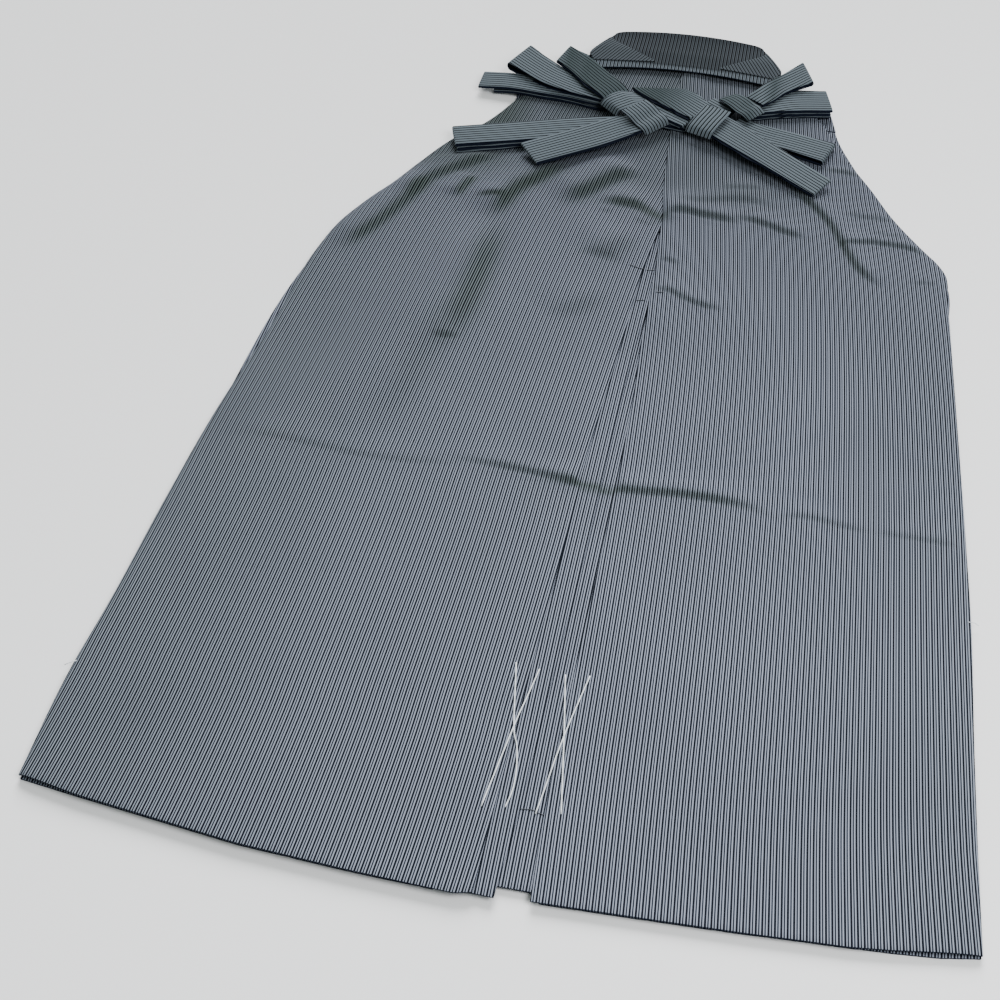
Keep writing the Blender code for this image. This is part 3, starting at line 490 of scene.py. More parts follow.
class HakamaClothSettings(bpy.types.PropertyGroup):
    """Colours and stripes of the cloth."""

    stripe_pitch: FloatProperty(
        name="Stripe pitch", description="Width of one repeat of the stripes",
        default=0.00356, min=0.001, max=0.05, unit="LENGTH", precision=5,
    )
    dark_line: colour_setting("Dark line", "Colour of the wide dark line", (0.0075, 0.0098, 0.0148))
    light_line: colour_setting(
        "Light line", "Colour of the two light lines of a repeat", (0.262, 0.288, 0.353)
    )
    mid_line: colour_setting(
        "Middle line", "Colour of the thin line between the light ones", (0.014, 0.018, 0.026)
    )
    # The colour that painted shade darkens the silk towards, unless its weave has its own shade
    # tint.
    painted_shade_tint: colour_setting(
        "Slope tint", "What the silk keeps of its light where a fold turns it aside",
        (0.42, 0.478, 0.377),
    )
    # Dark navy painted shade on the inner side and the cut edges.
    edge_shade: colour_setting(
        "Lining", "Colour of the inner side and of the cut edges", (0.0080, 0.0110, 0.0210)
    )
    thread_white: colour_setting(
        "Basting thread", "Colour of the basting thread", (0.84, 0.89, 0.93)
    )
    thread_dark: colour_setting(
        "Sewing thread", "Colour of the sewing thread", (0.018, 0.024, 0.034)
    )


class HakamaShapeSettings(bpy.types.PropertyGroup):
    """Thickness and folds of the cloth."""

    fold_strength: FloatProperty(
        name="Fold strength", description="How high the folds of the back stand",
        default=1.15, min=0.0, max=2.0,
    )
    swell: FloatProperty(
        name="Swell", description="How far the cloth rises and falls between its folds",
        default=0.00045, min=0.0, max=0.003, unit="LENGTH", precision=5,
    )
    thread_width: FloatProperty(
        name="Thread width", description="Diameter of the basting thread",
        default=0.0009, min=0.0002, max=0.003, unit="LENGTH", precision=5,
    )


class HakamaStageSettings(bpy.types.PropertyGroup):
    """Floor, light and camera."""

    floor_colour: colour_setting("Floor", "Colour of the floor", (0.93, 0.93, 0.93))
    key_power: FloatProperty(
        name="Key light", description="Strength of the far soft light beyond the waist",
        default=6.3, min=0.0, max=100.0,
    )
    fill_power: FloatProperty(
        name="Overhead light", description="Power of the large lamp overhead, in watts",
        default=24.0, min=0.0, max=1000.0,
    )
    sky_strength: FloatProperty(
        name="Room light", description="Strength of the even light of the room",
        default=0.38, min=0.0, max=10.0,
    )


# ---- Small tools -------------------------------------------------------------------------------
def to_world(x, along, z):
    """Points of the garment as an array of rows, moved so that its middle is over the origin."""
    x, along, z = np.broadcast_arrays(
        np.asarray(x, float) - MIDDLE_X, np.asarray(along, float) - MIDDLE_ALONG, z
    )
    return np.stack([x, along, z], axis=-1)


def read(table, where):
    """The table's second column where the first holds this value, by straight lines."""
    rows = np.array(table)
    return np.interp(where, rows[:, 0], rows[:, 1])


def read_soft(table, where):
    """As read(), in a smooth curve through the rows."""
    keys, values = np.array(table).T
    slopes = np.gradient(values, keys)
    where = np.clip(where, keys[0], keys[-1])
    low = np.clip(np.searchsorted(keys, where, side="right") - 1, 0, len(keys) - 2)
    step = keys[low + 1] - keys[low]
    t = (where - keys[low]) / step
    start = (1 + 2 * t) * (1 - t) ** 2 * values[low] + t * (1 - t) ** 2 * step * slopes[low]
    end = t * t * (3 - 2 * t) * values[low + 1] + t * t * (t - 1) * step * slopes[low + 1]
    return start + end


def ease(span, value):
    """0 below the span, 1 above it, and a soft S between."""
    t = np.clip((value - span[0]) / (span[1] - span[0]), 0.0, 1.0)
    return t * t * (3.0 - 2.0 * t)


def hem_shift(hem, x, along):
    return read(hem, x) * np.maximum(0.0, 1.0 - along / HEM_FADE)


def across_grain(lean, x, along):
    """Place across the threads: the stripes are where this stays the same."""
    rows = np.array(lean)
    steps = np.linspace(0.0, LEAN_END, LEAN_PLACES)
    aside = np.concatenate([[0.0], np.cumsum(np.diff(steps) * read(rows, steps[:-1]))])
    return x - np.interp(along, steps, aside)


# ---- Form of the back --------------------------------------------------------------------------
def fold_relief(x, along, folds):
    """How far the folds raise the cloth above its rest, and how much painted shade it gets there.
    """
    lift, turned = np.zeros_like(x), np.zeros_like(x)
    for fold in folds:
        points = np.array(fold.points)
        chord = points[-1] - points[0]
        length = np.hypot(*chord)
        ahead = chord / length
        aside = np.array([-ahead[1], ahead[0]])
        bends = (points - points[0]) @ np.stack([ahead, aside], axis=1)
        forward = (x - points[0, 0]) * ahead[0] + (along - points[0, 1]) * ahead[1]
        upward = (x - points[0, 0]) * aside[0] + (along - points[0, 1]) * aside[1]
        share = forward / length
        close = np.abs(upward) < FOLD_REACH[0] * fold.soft + FOLD_REACH[1]
        near = (share > 0.0) & (share < 1.0) & close
        share, forward, upward = share[near], forward[near], upward[near]
        side = upward + fold.soft / 2
        if len(points) > 2:
            side -= read_soft(bends, forward)
        ends = ease((0.0, fold.fade), share) * ease((0.0, fold.fade), 1.0 - share)
        above = np.maximum(side, 0.0) / fold.soft
        below = np.maximum(-side, 0.0) / (LIP_WIDTH * fold.soft)
        swell = ease((0.0, 1.0), above) * np.exp(-((np.maximum(above - 1.0, 0.0) / fold.tail) ** 2))
        lip = below * np.exp((1.0 - below**2) / 2.0)
        lift[near] += fold.drop * ends * (swell + LIP_HEIGHT * fold.lip * lip)
        # Painted shade along the slope of the fold, the second result.
        band = np.exp(-(((side / fold.soft - SHADE_MIDDLE) / SHADE_REACH) ** 2))
        turned[near] += fold.shade * ends * band * fold.drop / fold.soft / STEEP
    return lift, np.minimum(turned, 1.0)


def soft_swell(x, along):
    """Low waves of the loose cloth, from -1 to 1."""
    waves = (
        np.sin(x * 41.0 + along * 9.0 + 0.6) * np.sin(along * 23.0 - x * 6.0 + 1.1)
        + 0.7 * np.sin(x * 88.0 - along * 17.0 + 2.0) * np.sin(along * 37.0 + 0.3)
        + 0.5 * np.sin(x * 23.0 + along * 61.0) * np.sin(x * 57.0 + 1.7)
    )
    return waves / 2.2


def to_waist(z, along):
    """The height z, brought down where the pleats end and only the front lies below the back."""
    return z + (WAIST_BACK_Z - z) * ease(TO_WAIST, along)


def rolled(z, edge_distance):
    """The height z, brought down to the front in a round over the last ROLL of the panel."""
    reach = np.clip(edge_distance / ROLL, 0.0, 1.0)
    low = FRONT_CLOTH + GAP
    return low + (z - low) * np.sqrt(1.0 - (1.0 - reach) ** 2)


def loose_lift(x, along, edge_distance, from_fold):
    """Folds and swell of the back, none of it above PRESSED_LINE or at a fold or rolled side."""
    shape = bpy.context.scene.hakama_shape
    line = read(PRESSED_LINE, x)
    free = 1.0 - ease((-PRESSED_FADE, 0.0), along - line)
    free *= ease(FROM_SIDE, edge_distance) * ease(FROM_CENTRE, from_fold)
    swell = shape.swell * (0.5 + 0.5 * soft_swell(x, along)) * ease(FROM_HEM, along + HEM_START)
    return free * (shape.fold_strength * fold_relief(x, along, FOLDS)[0] + swell)


def left_back_under(x, along, edge_distance):
    from_fold = read_soft(LEFT_FOLD, along) - x
    below_right = ease(RIGHT_OVER_LEFT, along) * (1.0 - ease(FOLD_STEP, from_fold))
    lift = loose_lift(x, along, edge_distance, from_fold) * (1.0 - below_right)
    return rolled(to_waist(LEFT_BACK_Z, along) + lift, edge_distance)


def right_back_under(x, along, edge_distance):
    from_fold = x - read_soft(RIGHT_FOLD, along)
    z = to_waist(RIGHT_BACK_Z, along)
    over_pleat = (LEFT_PLEAT_Z + CLOTH + GAP - z) * ease(RIGHT_OVER_PLEAT, along)
    over_pleat *= 1.0 - ease(TO_WAIST, along)
    over_left = (to_waist(LEFT_BACK_Z, along) + CLOTH + GAP - z) * ease(RIGHT_OVER_LEFT, along)
    step = np.maximum(over_pleat, over_left) * (1.0 - ease(FOLD_STEP, from_fold))
    lift = loose_lift(x, along, edge_distance, from_fold)
    return rolled(z + step + lift, edge_distance)


def back_top(x, along):
    """Height of the uppermost cloth of the back at a place near its centre."""
    left = left_back_under(x, along, ROLL) + CLOTH
    right = right_back_under(x, along, ROLL) + CLOTH
    on_left = x <= read_soft(LEFT_FOLD, along)
    on_right = x >= read_soft(RIGHT_FOLD, along)
    on_pleat = x <= read_soft(LEFT_PLEAT_FOLD, along)
    pleat = np.where(on_pleat, LEFT_PLEAT_Z, CENTRE_PLEAT_Z) + CLOTH
    return np.where(on_right, right, np.where(on_left, left, pleat))


# ---- Making sheets -----------------------------------------------------------------------------
def store_painted_shade(obj, turned):
    """Stores on each corner how much painted shade the cloth gets there."""
    # The attribute turned holds this painted shade.
    attribute = obj.data.attributes.new("turned", "FLOAT", "POINT")
    attribute.data.foreach_set("value", turned.astype(np.float32))


def add_painted_shade(obj, x, along):
    """The painted shade of a panel, from its folds and on its flat cloth."""
    unshaded = 1.0 - fold_relief(x, along, FOLDS)[1]
    for turn in FLAT_SHADES:
        unshaded *= 1.0 - read(turn.by_x, x) * read(turn.by_along, along)
    store_painted_shade(obj, 1.0 - unshaded)


def add_uv(mesh, grain):
    layer = mesh.uv_layers.new(name="grain")
    corners = np.empty(len(mesh.loops), np.int32)
    mesh.loops.foreach_get("vertex_index", corners)
    layer.data.foreach_set("uv", grain[corners].astype(np.float32).ravel())


def cloth_sheet(name, columns, rows, place, material, wall, offset=-1.0, rounding=EDGE_ROUND,
                shaded_inside=False, thin_edge=None):
    """A grid of columns by rows put in place, with its grain, a wall of cloth and round edges.

    place takes the column and row of every corner and returns their points and their grain.
    The edges get a dark painted shade, and the inner side too where shaded_inside is set. thin_edge
    takes the same columns and rows and returns how much of the wall each corner keeps.
    """
    bm = bmesh.new()
    bmesh.ops.create_grid(bm, x_segments=columns - 1, y_segments=rows - 1, size=0.5)
    mesh = bpy.data.meshes.new(name)
    bm.to_mesh(mesh)
    bm.free()
    corners = np.empty(len(mesh.vertices) * 3, np.float32)
    mesh.vertices.foreach_get("co", corners)
    corners = corners.reshape(-1, 3)
    column = np.rint((corners[:, 0] + 0.5) * (columns - 1)).astype(int)
    row = np.rint((corners[:, 1] + 0.5) * (rows - 1)).astype(int)
    points, grain = place(column, row)
    mesh.vertices.foreach_set("co", np.asarray(points, np.float32).ravel())
    add_uv(mesh, grain)
    mesh.update()
    mesh.shade_smooth()
    mesh.materials.append(material)
    # Second slot: dark painted shade on the edges, and on the inner side where asked.
    mesh.materials.append(edge_shade())
    obj = bpy.data.objects.new(name, mesh)
    bpy.context.scene.collection.objects.link(obj)
    solid = obj.modifiers.new("Wall", "SOLIDIFY")
    solid.thickness = wall
    solid.offset = offset
    solid.material_offset = 1 if shaded_inside else 0
    solid.material_offset_rim = 1
    if thin_edge:
        group = obj.vertex_groups.new(name="wall")
        for corner, share in enumerate(thin_edge(column, row)):
            group.add([corner], float(share), "REPLACE")
        solid.vertex_group = group.name
    if rounding:
        bevel = obj.modifiers.new("Edges", "BEVEL")
        bevel.width = rounding
        bevel.segments = EDGE_ROUND_STEPS
        bevel.limit_method = "ANGLE"
        bevel.angle_limit = EDGE_ANGLE
        bevel.use_clamp_overlap = True
    return obj


def hand_over(obj, slot, *nodes):
    """The piece rides on the garment's one body and stands for its solids, which it hides."""
    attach(obj, BODY)
    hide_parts(*nodes)


# ---- Finishes ----------------------------------------------------------------------------------
def node_tools(material):
    """Short ways to add a node and to link two sockets of the material."""
    tree = material.node_tree

    def add(kind, **values):
        node = tree.nodes.new(kind)
        for key, value in values.items():
            setattr(node, key, value)
        return node

    def math_node(operation, first, second=None):
        node = add("ShaderNodeMath", operation=operation)
        for socket, value in zip(node.inputs, (first, second)):
            if isinstance(value, (int, float)):
                socket.default_value = value
            elif value is not None:
                tree.links.new(value, socket)
        return node.outputs[0]

    return add, math_node, tree.links.new


def new_material(name):
    material = bpy.data.materials.new(name)
    material.use_nodes = True
    return material, material.node_tree.nodes["Principled BSDF"]


# "second" is how much of the second, finer line shows. "wear" is where along the cloth
# its painted shade or painted highlight changes the brightness, from how much and to how much.
# "dull" is what the colour keeps under its painted shade.
Weave = namedtuple("Weave", "tint contrast second roughness bump wear dull", defaults=(None,))
WEAVES = {
    # The panels: painted shade, darker towards the waist.
    "striped_silk": Weave((1.0, 1.0, 1.0), 1.0, 1.0, 0.85, 0.10, (0.20, 0.90, 1.0, 0.70)),
    # The ties: a darker, greener copy of the same silk, painted shade for how they are lit.
    "tie_silk": Weave(
        (0.408, 0.450, 0.416), 1.30, 0.35, 0.85, 0.10, None, (0.42, 0.474, 0.445)
    ),
    # The roots of the back ties: a darker copy of the same silk, painted shade.
    "root_silk": Weave((0.245, 0.265, 0.246), 1.20, 0.40, 0.88, 0.10, None),
    # The board: a darker copy of the same silk, painted shade, with a painted highlight along its
    # lower edge.
    "board_silk": Weave(
        (0.178, 0.191, 0.179), 1.20, 0.7, 0.90, 0.12, (0.0034, 0.0074, 2.8, 1.0)
    ),
}
STRIPES = (  # one repeat: the place of each colour, and which line it belongs to
    (0.00, "dark"), (0.33, "dark"), (0.37, "light"), (0.505, "light"),
    (0.545, "mid"), (0.745, "mid"), (0.785, "light"), (0.95, "light"),
)
LINE_SHARES = (0.38, 0.40, 0.22)  # of the dark, light and middle lines in the mean colour
DARKEST = 0.003
CLOUD_SCALE = 9.0  # uneven colour: how fine, how detailed, how strong and from what brightness
CLOUD_DETAIL = 3.0
CLOUD_STRENGTH = 0.22
CLOUD_FLOOR = 0.89
RIB_SCALE = (300.0, 2400.0, 1.0)  # ribs of the weave for each metre across and along the threads
RIB_DETAIL = 2.0
RIB_HEIGHT = 0.00012
SILK_GLOSS = 0.02
# The dark navy painted shade of edges and inner sides: its clouds, their shades and its roughness.
EDGE_SHADE_CLOUDS = 160.0
EDGE_SHADE_LEVELS = (0.6, 1.4)
EDGE_SHADE_ROUGHNESS = 0.6
TWIST_SCALE = 420.0
TWIST_SHADE = 0.82  # what the dark bands of a thread keep of its colour
THREAD_ROUGHNESS = 0.6
FLOOR_ROUGHNESS = 0.9


def striped_silk(name, weave):
    """Silk with fine lines along the threads, a ribbed weave across them and uneven colour."""
    cloth = bpy.context.scene.hakama_cloth
    material, shader = new_material(name)
    add, maths, link = node_tools(material)
    grain = add("ShaderNodeUVMap", uv_map="grain")
    apart = add("ShaderNodeSeparateXYZ")
    link(grain.outputs["UV"], apart.inputs["Vector"])
    across, along = apart.outputs["X"], apart.outputs["Y"]
    repeat = maths("FRACT", maths("DIVIDE", across, cloth.stripe_pitch))

    channels = zip(cloth.dark_line, cloth.light_line, cloth.mid_line)
    mean = [sum(share * c for share, c in zip(LINE_SHARES, channel)) for channel in channels]
    second = [l + (m - l) * weave.second for l, m in zip(cloth.light_line, cloth.mid_line)]
    lines = {"dark": cloth.dark_line, "light": cloth.light_line, "mid": second}
    ramp = add("ShaderNodeValToRGB")
    stops = ramp.color_ramp.elements
    stops.remove(stops[1])
    for number, (position, key) in enumerate(STRIPES):
        stop = stops[0] if number == 0 else stops.new(position)
        colour = [max(DARKEST, m + (c - m) * weave.contrast) for c, m in zip(lines[key], mean)]
        stop.color = [c * t for c, t in zip(colour, weave.tint)] + [1.0]
    link(repeat, ramp.inputs["Fac"])

    place = add("ShaderNodeTexCoord")
    cloud = add("ShaderNodeTexNoise", noise_dimensions="3D")
    cloud.inputs["Scale"].default_value = CLOUD_SCALE
    cloud.inputs["Detail"].default_value = CLOUD_DETAIL
    link(place.outputs["Object"], cloud.inputs["Vector"])
    shade = maths("MULTIPLY_ADD", cloud.outputs["Fac"], CLOUD_STRENGTH)
    shade.node.inputs[2].default_value = CLOUD_FLOOR
    # Painted light along the cloth: painted shade on the panels, darker towards the waist, and a
    # painted highlight along the board's lower edge.
    if weave.wear:
        wear = add("ShaderNodeMapRange", interpolation_type="SMOOTHSTEP")
        for socket, value in zip(wear.inputs[1:5], weave.wear):
            socket.default_value = value
        link(along, wear.inputs[0])
        shade = maths("MULTIPLY", shade, wear.outputs[0])
    tinted = add("ShaderNodeVectorMath", operation="SCALE")
    link(ramp.outputs["Color"], tinted.inputs[0])
    link(shade, tinted.inputs["Scale"])
    # Painted shade: the attribute turned mixes the colour towards the shade tint.
    turned = add("ShaderNodeAttribute", attribute_name="turned")
    shaded_colour = add("ShaderNodeVectorMath", operation="MULTIPLY")
    shaded_colour.inputs[1].default_value = weave.dull or cloth.painted_shade_tint
    link(tinted.outputs[0], shaded_colour.inputs[0])
    mix = add("ShaderNodeMix", data_type="RGBA")
    link(turned.outputs["Fac"], mix.inputs[0])
    link(tinted.outputs[0], mix.inputs[6])
    link(shaded_colour.outputs[0], mix.inputs[7])
    link(mix.outputs[2], shader.inputs["Base Color"])

    ribs = add("ShaderNodeTexNoise", noise_dimensions="2D")
    ribs.inputs["Scale"].default_value = 1.0
    ribs.inputs["Detail"].default_value = RIB_DETAIL
    stretch = add("ShaderNodeMapping")
    stretch.inputs["Scale"].default_value = RIB_SCALE
    link(grain.outputs["UV"], stretch.inputs["Vector"])
    link(stretch.outputs["Vector"], ribs.inputs["Vector"])
    bump = add("ShaderNodeBump")
    bump.inputs["Strength"].default_value = weave.bump
    bump.inputs["Distance"].default_value = RIB_HEIGHT
    link(ribs.outputs["Fac"], bump.inputs["Height"])
    link(bump.outputs["Normal"], shader.inputs["Normal"])

    shader.inputs["Roughness"].default_value = weave.roughness
    shader.inputs["Specular IOR Level"].default_value = SILK_GLOSS
    return material


def edge_shade_silk(name):
    """Dark navy painted shade on the inner side and the cut edges of the cloth, with faint clouds.
    """
    cloth = bpy.context.scene.hakama_cloth
    material, shader = new_material(name)
    add, _, link = node_tools(material)
    place = add("ShaderNodeTexCoord")
    cloud = add("ShaderNodeTexNoise", noise_dimensions="3D")
    cloud.inputs["Scale"].default_value = EDGE_SHADE_CLOUDS
    link(place.outputs["Object"], cloud.inputs["Vector"])
    mix = add("ShaderNodeMix", data_type="RGBA")
    mix.inputs[6].default_value = [c * EDGE_SHADE_LEVELS[0] for c in cloth.edge_shade] + [1.0]
    mix.inputs[7].default_value = [c * EDGE_SHADE_LEVELS[1] for c in cloth.edge_shade] + [1.0]
    link(cloud.outputs["Fac"], mix.inputs[0])
    link(mix.outputs[2], shader.inputs["Base Color"])
    shader.inputs["Roughness"].default_value = EDGE_SHADE_ROUGHNESS
    shader.inputs["Specular IOR Level"].default_value = SILK_GLOSS
    return material


def thread_material(name, colour):
    """Twisted thread: fine slanting bands of light and dark."""
    material, shader = new_material(name)
    add, _, link = node_tools(material)
    place = add("ShaderNodeTexCoord")
    twist = add("ShaderNodeTexWave", wave_type="BANDS", bands_direction="DIAGONAL")
    twist.inputs["Scale"].default_value = TWIST_SCALE
    link(place.outputs["Object"], twist.inputs["Vector"])
    mix = add("ShaderNodeMix", data_type="RGBA")
    mix.inputs[6].default_value = [c * TWIST_SHADE for c in colour] + [1.0]
    mix.inputs[7].default_value = list(colour) + [1.0]
    link(twist.outputs["Fac"], mix.inputs[0])
    link(mix.outputs[2], shader.inputs["Base Color"])
    shader.inputs["Roughness"].default_value = THREAD_ROUGHNESS
    return material


def silk(name):
    """The silk of this name, made the first time that a piece asks for it."""
    return bpy.data.materials.get(name) or striped_silk(name, WEAVES[name])


def edge_shade():
    """The dark painted shade of edges and inner sides, made the first time that a piece asks for
    it.
    """
    return bpy.data.materials.get("edge_shade_silk") or edge_shade_silk("edge_shade_silk")


# ---- Panels ------------------------------------------------------------------------------------
def panel_outline(left_table, right_table, columns, rows, top, row_places=((0.0, 0.0), (1.0, 1.0))):
    """A function from column and row to x, along and the x of both sides, up to the top."""

    def spread(column, row):
        along = top * read(row_places, row / (rows - 1))
        left = read_soft(left_table, along)
        right = read_soft(right_table, along)
        return left + (right - left) * column / (columns - 1), along, left, right

    return spread


def back_panel(side, fold, outline, under, lean):
    """One back panel with its rolled outer edge, its folds and its stripes."""
    word = "left" if side < 0 else "right"
    tables = (outline, fold) if side < 0 else (fold, outline)
    rows, columns = PANEL_ROWS, PANEL_COLUMNS
    spread = panel_outline(*tables, columns, rows, BACK_TOP, ROW_PLACES)
    places = []

    def place(column, row):
        x, along, left, right = spread(column, row)
        places[:] = [x, along]
        inward = x - left if side < 0 else right - x
        z = under(x, along, inward) + CLOTH
        grain = np.stack([across_grain(lean, x, along), along], axis=-1)
        return to_world(x, along + hem_shift(BACK_HEM, x, along), z), grain

    obj = cloth_sheet(f"cloth_back_{word}", columns, rows, place, silk("striped_silk"), CLOTH)
    add_painted_shade(obj, *places)
    hand_over(obj, "cloth", f"back_panel_{word}")


class HAKAMA_OT_back_panels(bpy.types.Operator):
    """Lay the two back panels, the right one over the left"""

    bl_idname = "hakama.back_panels"
    bl_label = "Back panels"

    def execute(self, context):
        back_panel(-1, LEFT_FOLD, LEFT_SIDE, left_back_under, LEFT_LEAN)
        back_panel(1, RIGHT_FOLD, RIGHT_SIDE, right_back_under, RIGHT_LEAN)
        return {"FINISHED"}


# The front lies face down. Its pressed pleats are shallow grooves in its underside: how far each
# lies from the front seam at the hem, and how much nearer, as a share, it comes up to the top.
FRONT_PLEATS = (0.045, 0.085, 0.125)
PLEAT_NARROWING = 0.55
PLEAT_GROOVE = 0.0005
GROOVE_WIDTH = 0.0045
FRONT_WALL = FRONT_CLOTH - 0.0006  # thinner than its solid, so that it stays in it over a groove


def front_panel(side):
    """One half of the pleated front, flat but for its grooves."""
    word = "left" if side < 0 else "right"
    outline = FRONT_LEFT_SIDE if side < 0 else FRONT_RIGHT_SIDE
    seam = FRONT_SEAM_X + side * GAP / 2
    seam_table = ((0.0, seam), (0.5, seam), (1.0, seam))
    tables = (outline, seam_table) if side < 0 else (seam_table, outline)
    rows = round(FRONT_TOP / PLAIN_STEP)
    columns = round(FRONT_HALF / GROOVE_STEP)
    spread = panel_outline(*tables, columns, rows, FRONT_TOP)

    def place(column, row):
        x, along, _, _ = spread(column, row)
        out = np.abs(x - FRONT_SEAM_X)
        narrow = 1.0 - PLEAT_NARROWING * along / FRONT_TOP
        groove = np.zeros_like(x)
        for pleat in FRONT_PLEATS:
            off = (out - pleat * narrow) / GROOVE_WIDTH
            groove = np.maximum(groove, np.where(off >= 0.0, np.exp(-off * off), 0.0))
        grain = np.stack([x, along], axis=-1)
        return to_world(x, along + hem_shift(FRONT_HEM, x, along), PLEAT_GROOVE * groove), grain

    obj = cloth_sheet(
        f"cloth_front_{word}", columns, rows, place, silk("striped_silk"), FRONT_WALL, offset=1.0
    )
    hand_over(obj, "cloth", f"front_panel_{word}")


def front_waistband():
    rows, columns = WAISTBAND_ROWS, round(WAISTBAND_WIDTH / PLAIN_STEP)

    def place(column, row):
        along = WAISTBAND[0] + (WAISTBAND[1] - WAISTBAND[0]) * row / (rows - 1)
        left = read(FRONT_LEFT_SIDE, along)
        right = read(FRONT_RIGHT_SIDE, along)
        x = left + (right - left) * column / (columns - 1)
        return to_world(x, along, np.full_like(x, FRONT_CLOTH)), np.stack([x, along], axis=-1)

    obj = cloth_sheet(
        "cloth_front_waistband", columns, rows, place, silk("striped_silk"), FRONT_CLOTH
    )
    hand_over(obj, "cloth", "front_waistband")


class HAKAMA_OT_front(bpy.types.Operator):
    """Lay the two halves of the pleated front and its waistband"""

    bl_idname = "hakama.front"
    bl_label = "Front"

    def execute(self, context):
        front_panel(-1)
        front_panel(1)
        front_waistband()
        return {"FINISHED"}


def inner_pleat(name, node, left_table, right_table, hem, z, top):
    rows = round(top / PANEL_STEP / 2)
    columns = round(PLEAT_WIDTH / PANEL_STEP)
    spread = panel_outline(left_table, right_table, columns, rows, top)
    places = []

    def place(column, row):
        x, along, _, _ = spread(column, row)
        places[:] = [x, along]
        grain = np.stack([across_grain(PLEAT_LEAN, x, along), along], axis=-1)
        return to_world(x, along + hem_shift(hem, x, along), np.full_like(x, z + CLOTH)), grain

    obj = cloth_sheet(name, columns, rows, place, silk("striped_silk"), CLOTH)
    add_painted_shade(obj, *places)
    hand_over(obj, "cloth", node)


class HAKAMA_OT_inner_pleats(bpy.types.Operator):
    """Lay the two layers that show in the open strip at the centre of the back"""

    bl_idname = "hakama.inner_pleats"
    bl_label = "Inner pleats"

    def execute(self, context):
        left, right = PLEAT_STARTS
        inner_pleat(
            "cloth_pleat_left", "inner_pleat_left", ((0.0, left), (1.0, left)), LEFT_PLEAT_FOLD,
            LEFT_PLEAT_HEM, LEFT_PLEAT_Z, PLEAT_TOPS[0],
        )
        inner_pleat(
            "cloth_pleat_centre", "inner_pleat_centre",
            ((0.0, CENTRE_PLEAT_LEFT), (1.0, CENTRE_PLEAT_LEFT)), ((0.0, right), (1.0, right)),
            CENTRE_PLEAT_HEM, CENTRE_PLEAT_Z, PLEAT_TOPS[1],
        )
        return {"FINISHED"}


# ---- Waist board -------------------------------------------------------------------------------
def board_column(field, along):
    return read_soft([(row.along, getattr(row, field)) for row in BOARD_ROWS], along)


def board_bow(along, across):
    """How far a row is bowed up here; across is -1 at the left side and 1 at the right."""
    lower = LOWER_BOW * (1.0 - ease((BOARD_ROWS[0].along, LOWER_BOW_END), along))
    upper = UPPER_BOW * ease((LOWER_BOW_END, BOARD_ROWS[-1].along), along)
    return (lower + upper) * (1.0 - across**2)


def board_top(x, along):
    """Height of the board's upper face, with the bow of its rows undone first."""
    across = np.minimum(1.0, np.abs(x) / BOARD_HALF)
    straight = along
    for _ in range(UNBOW_ROUNDS):
        straight = along - board_bow(straight, across)
    lip = BOARD_LIP_DROP * (1.0 - ease((0.0, BOARD_LIP), straight - BOARD_ROWS[0].along))
    return board_column("under", straight) + board_column("thick", straight) - lip


def waist_board():
    """The stiff board in its cover, softly rounded at its rim."""
    first, last = BOARD_ROWS[0].along, BOARD_ROWS[-1].along
    rows = round((last - first) / BOARD_ROW_STEP)
    columns = round(2 * BOARD_HALF / BOARD_STEP)

    def place(column, row):
        along = first + (last - first) * row / (rows - 1)
        out = column / (columns - 1)
        left, right = board_column("left", along), board_column("right", along)
        x = left + (right - left) * out
        across = 2.0 * out - 1.0
        bowed = along + board_bow(along, across)
        z = board_column("under", along) + board_column("thick", along)
        z -= BOARD_LIP_DROP * (1.0 - ease((0.0, BOARD_LIP), along - first))
        # The grain along the board, from its lower edge, sets where its painted highlight lies.
        band = (along - first) / (1.0 + across**2)
        grain = np.stack([x * BOARD_CLOSENESS + BOARD_LEAN * (bowed - first), band], axis=-1)
        return to_world(x, bowed, z), grain

    def thin_edge(column, row):
        whole = ease((0.0, BOARD_LIP), (last - first) * row / (rows - 1))
        return LIP_WALL + (1.0 - LIP_WALL) * whole

    obj = cloth_sheet(
        "board_cover", columns, rows, place, silk("board_silk"), BOARD_WALL,
        rounding=BOARD_ROUND, thin_edge=thin_edge,
    )
    hand_over(obj, "board", "waist_board")


def tie_root(side):
    """The wide end of a back tie, sewn on the board as a wedge with stripes along the tie."""
    word = "left" if side < 0 else "right"
    columns, rows = ROOT_COLUMNS, ROOT_ROWS

    def place(column, row):
        out = column / (columns - 1) if side > 0 else 1.0 - column / (columns - 1)
        lower = ROOT_LOWER[1] + (ROOT_LOWER[0] - ROOT_LOWER[1]) * out
        upper = ROOT_UPPER[1] + (ROOT_UPPER[0] - ROOT_UPPER[1]) * out
        along = lower + (upper - lower) * row / (rows - 1)
        edge = board_column(word, along)
        tip = ROOT_TIPS[side > 0]
        x = tip + (edge - side * ROOT_INSET - tip) * out
        z = board_top(x, along) + ROOT_SEAT + ROOT_CLOTH
        grain = np.stack([ROOT_CLOSENESS * x + side * ROOT_SLANT * along, along], axis=-1)
        return to_world(x, along, z), grain

    obj = cloth_sheet(f"tie_root_cloth_{word}", columns, rows, place, silk("root_silk"), ROOT_CLOTH)
    obj.modifiers["Wall"].material_offset_rim = 0
    hand_over(obj, "tie", f"tie_root_{word}")


class HAKAMA_OT_waist_board(bpy.types.Operator):
    """Lay the waist board and sew the roots of the back ties on it"""

    bl_idname = "hakama.waist_board"
    bl_label = "Waist board"

    def execute(self, context):
        waist_board()
        tie_root(-1)
        tie_root(1)
        return {"FINISHED"}


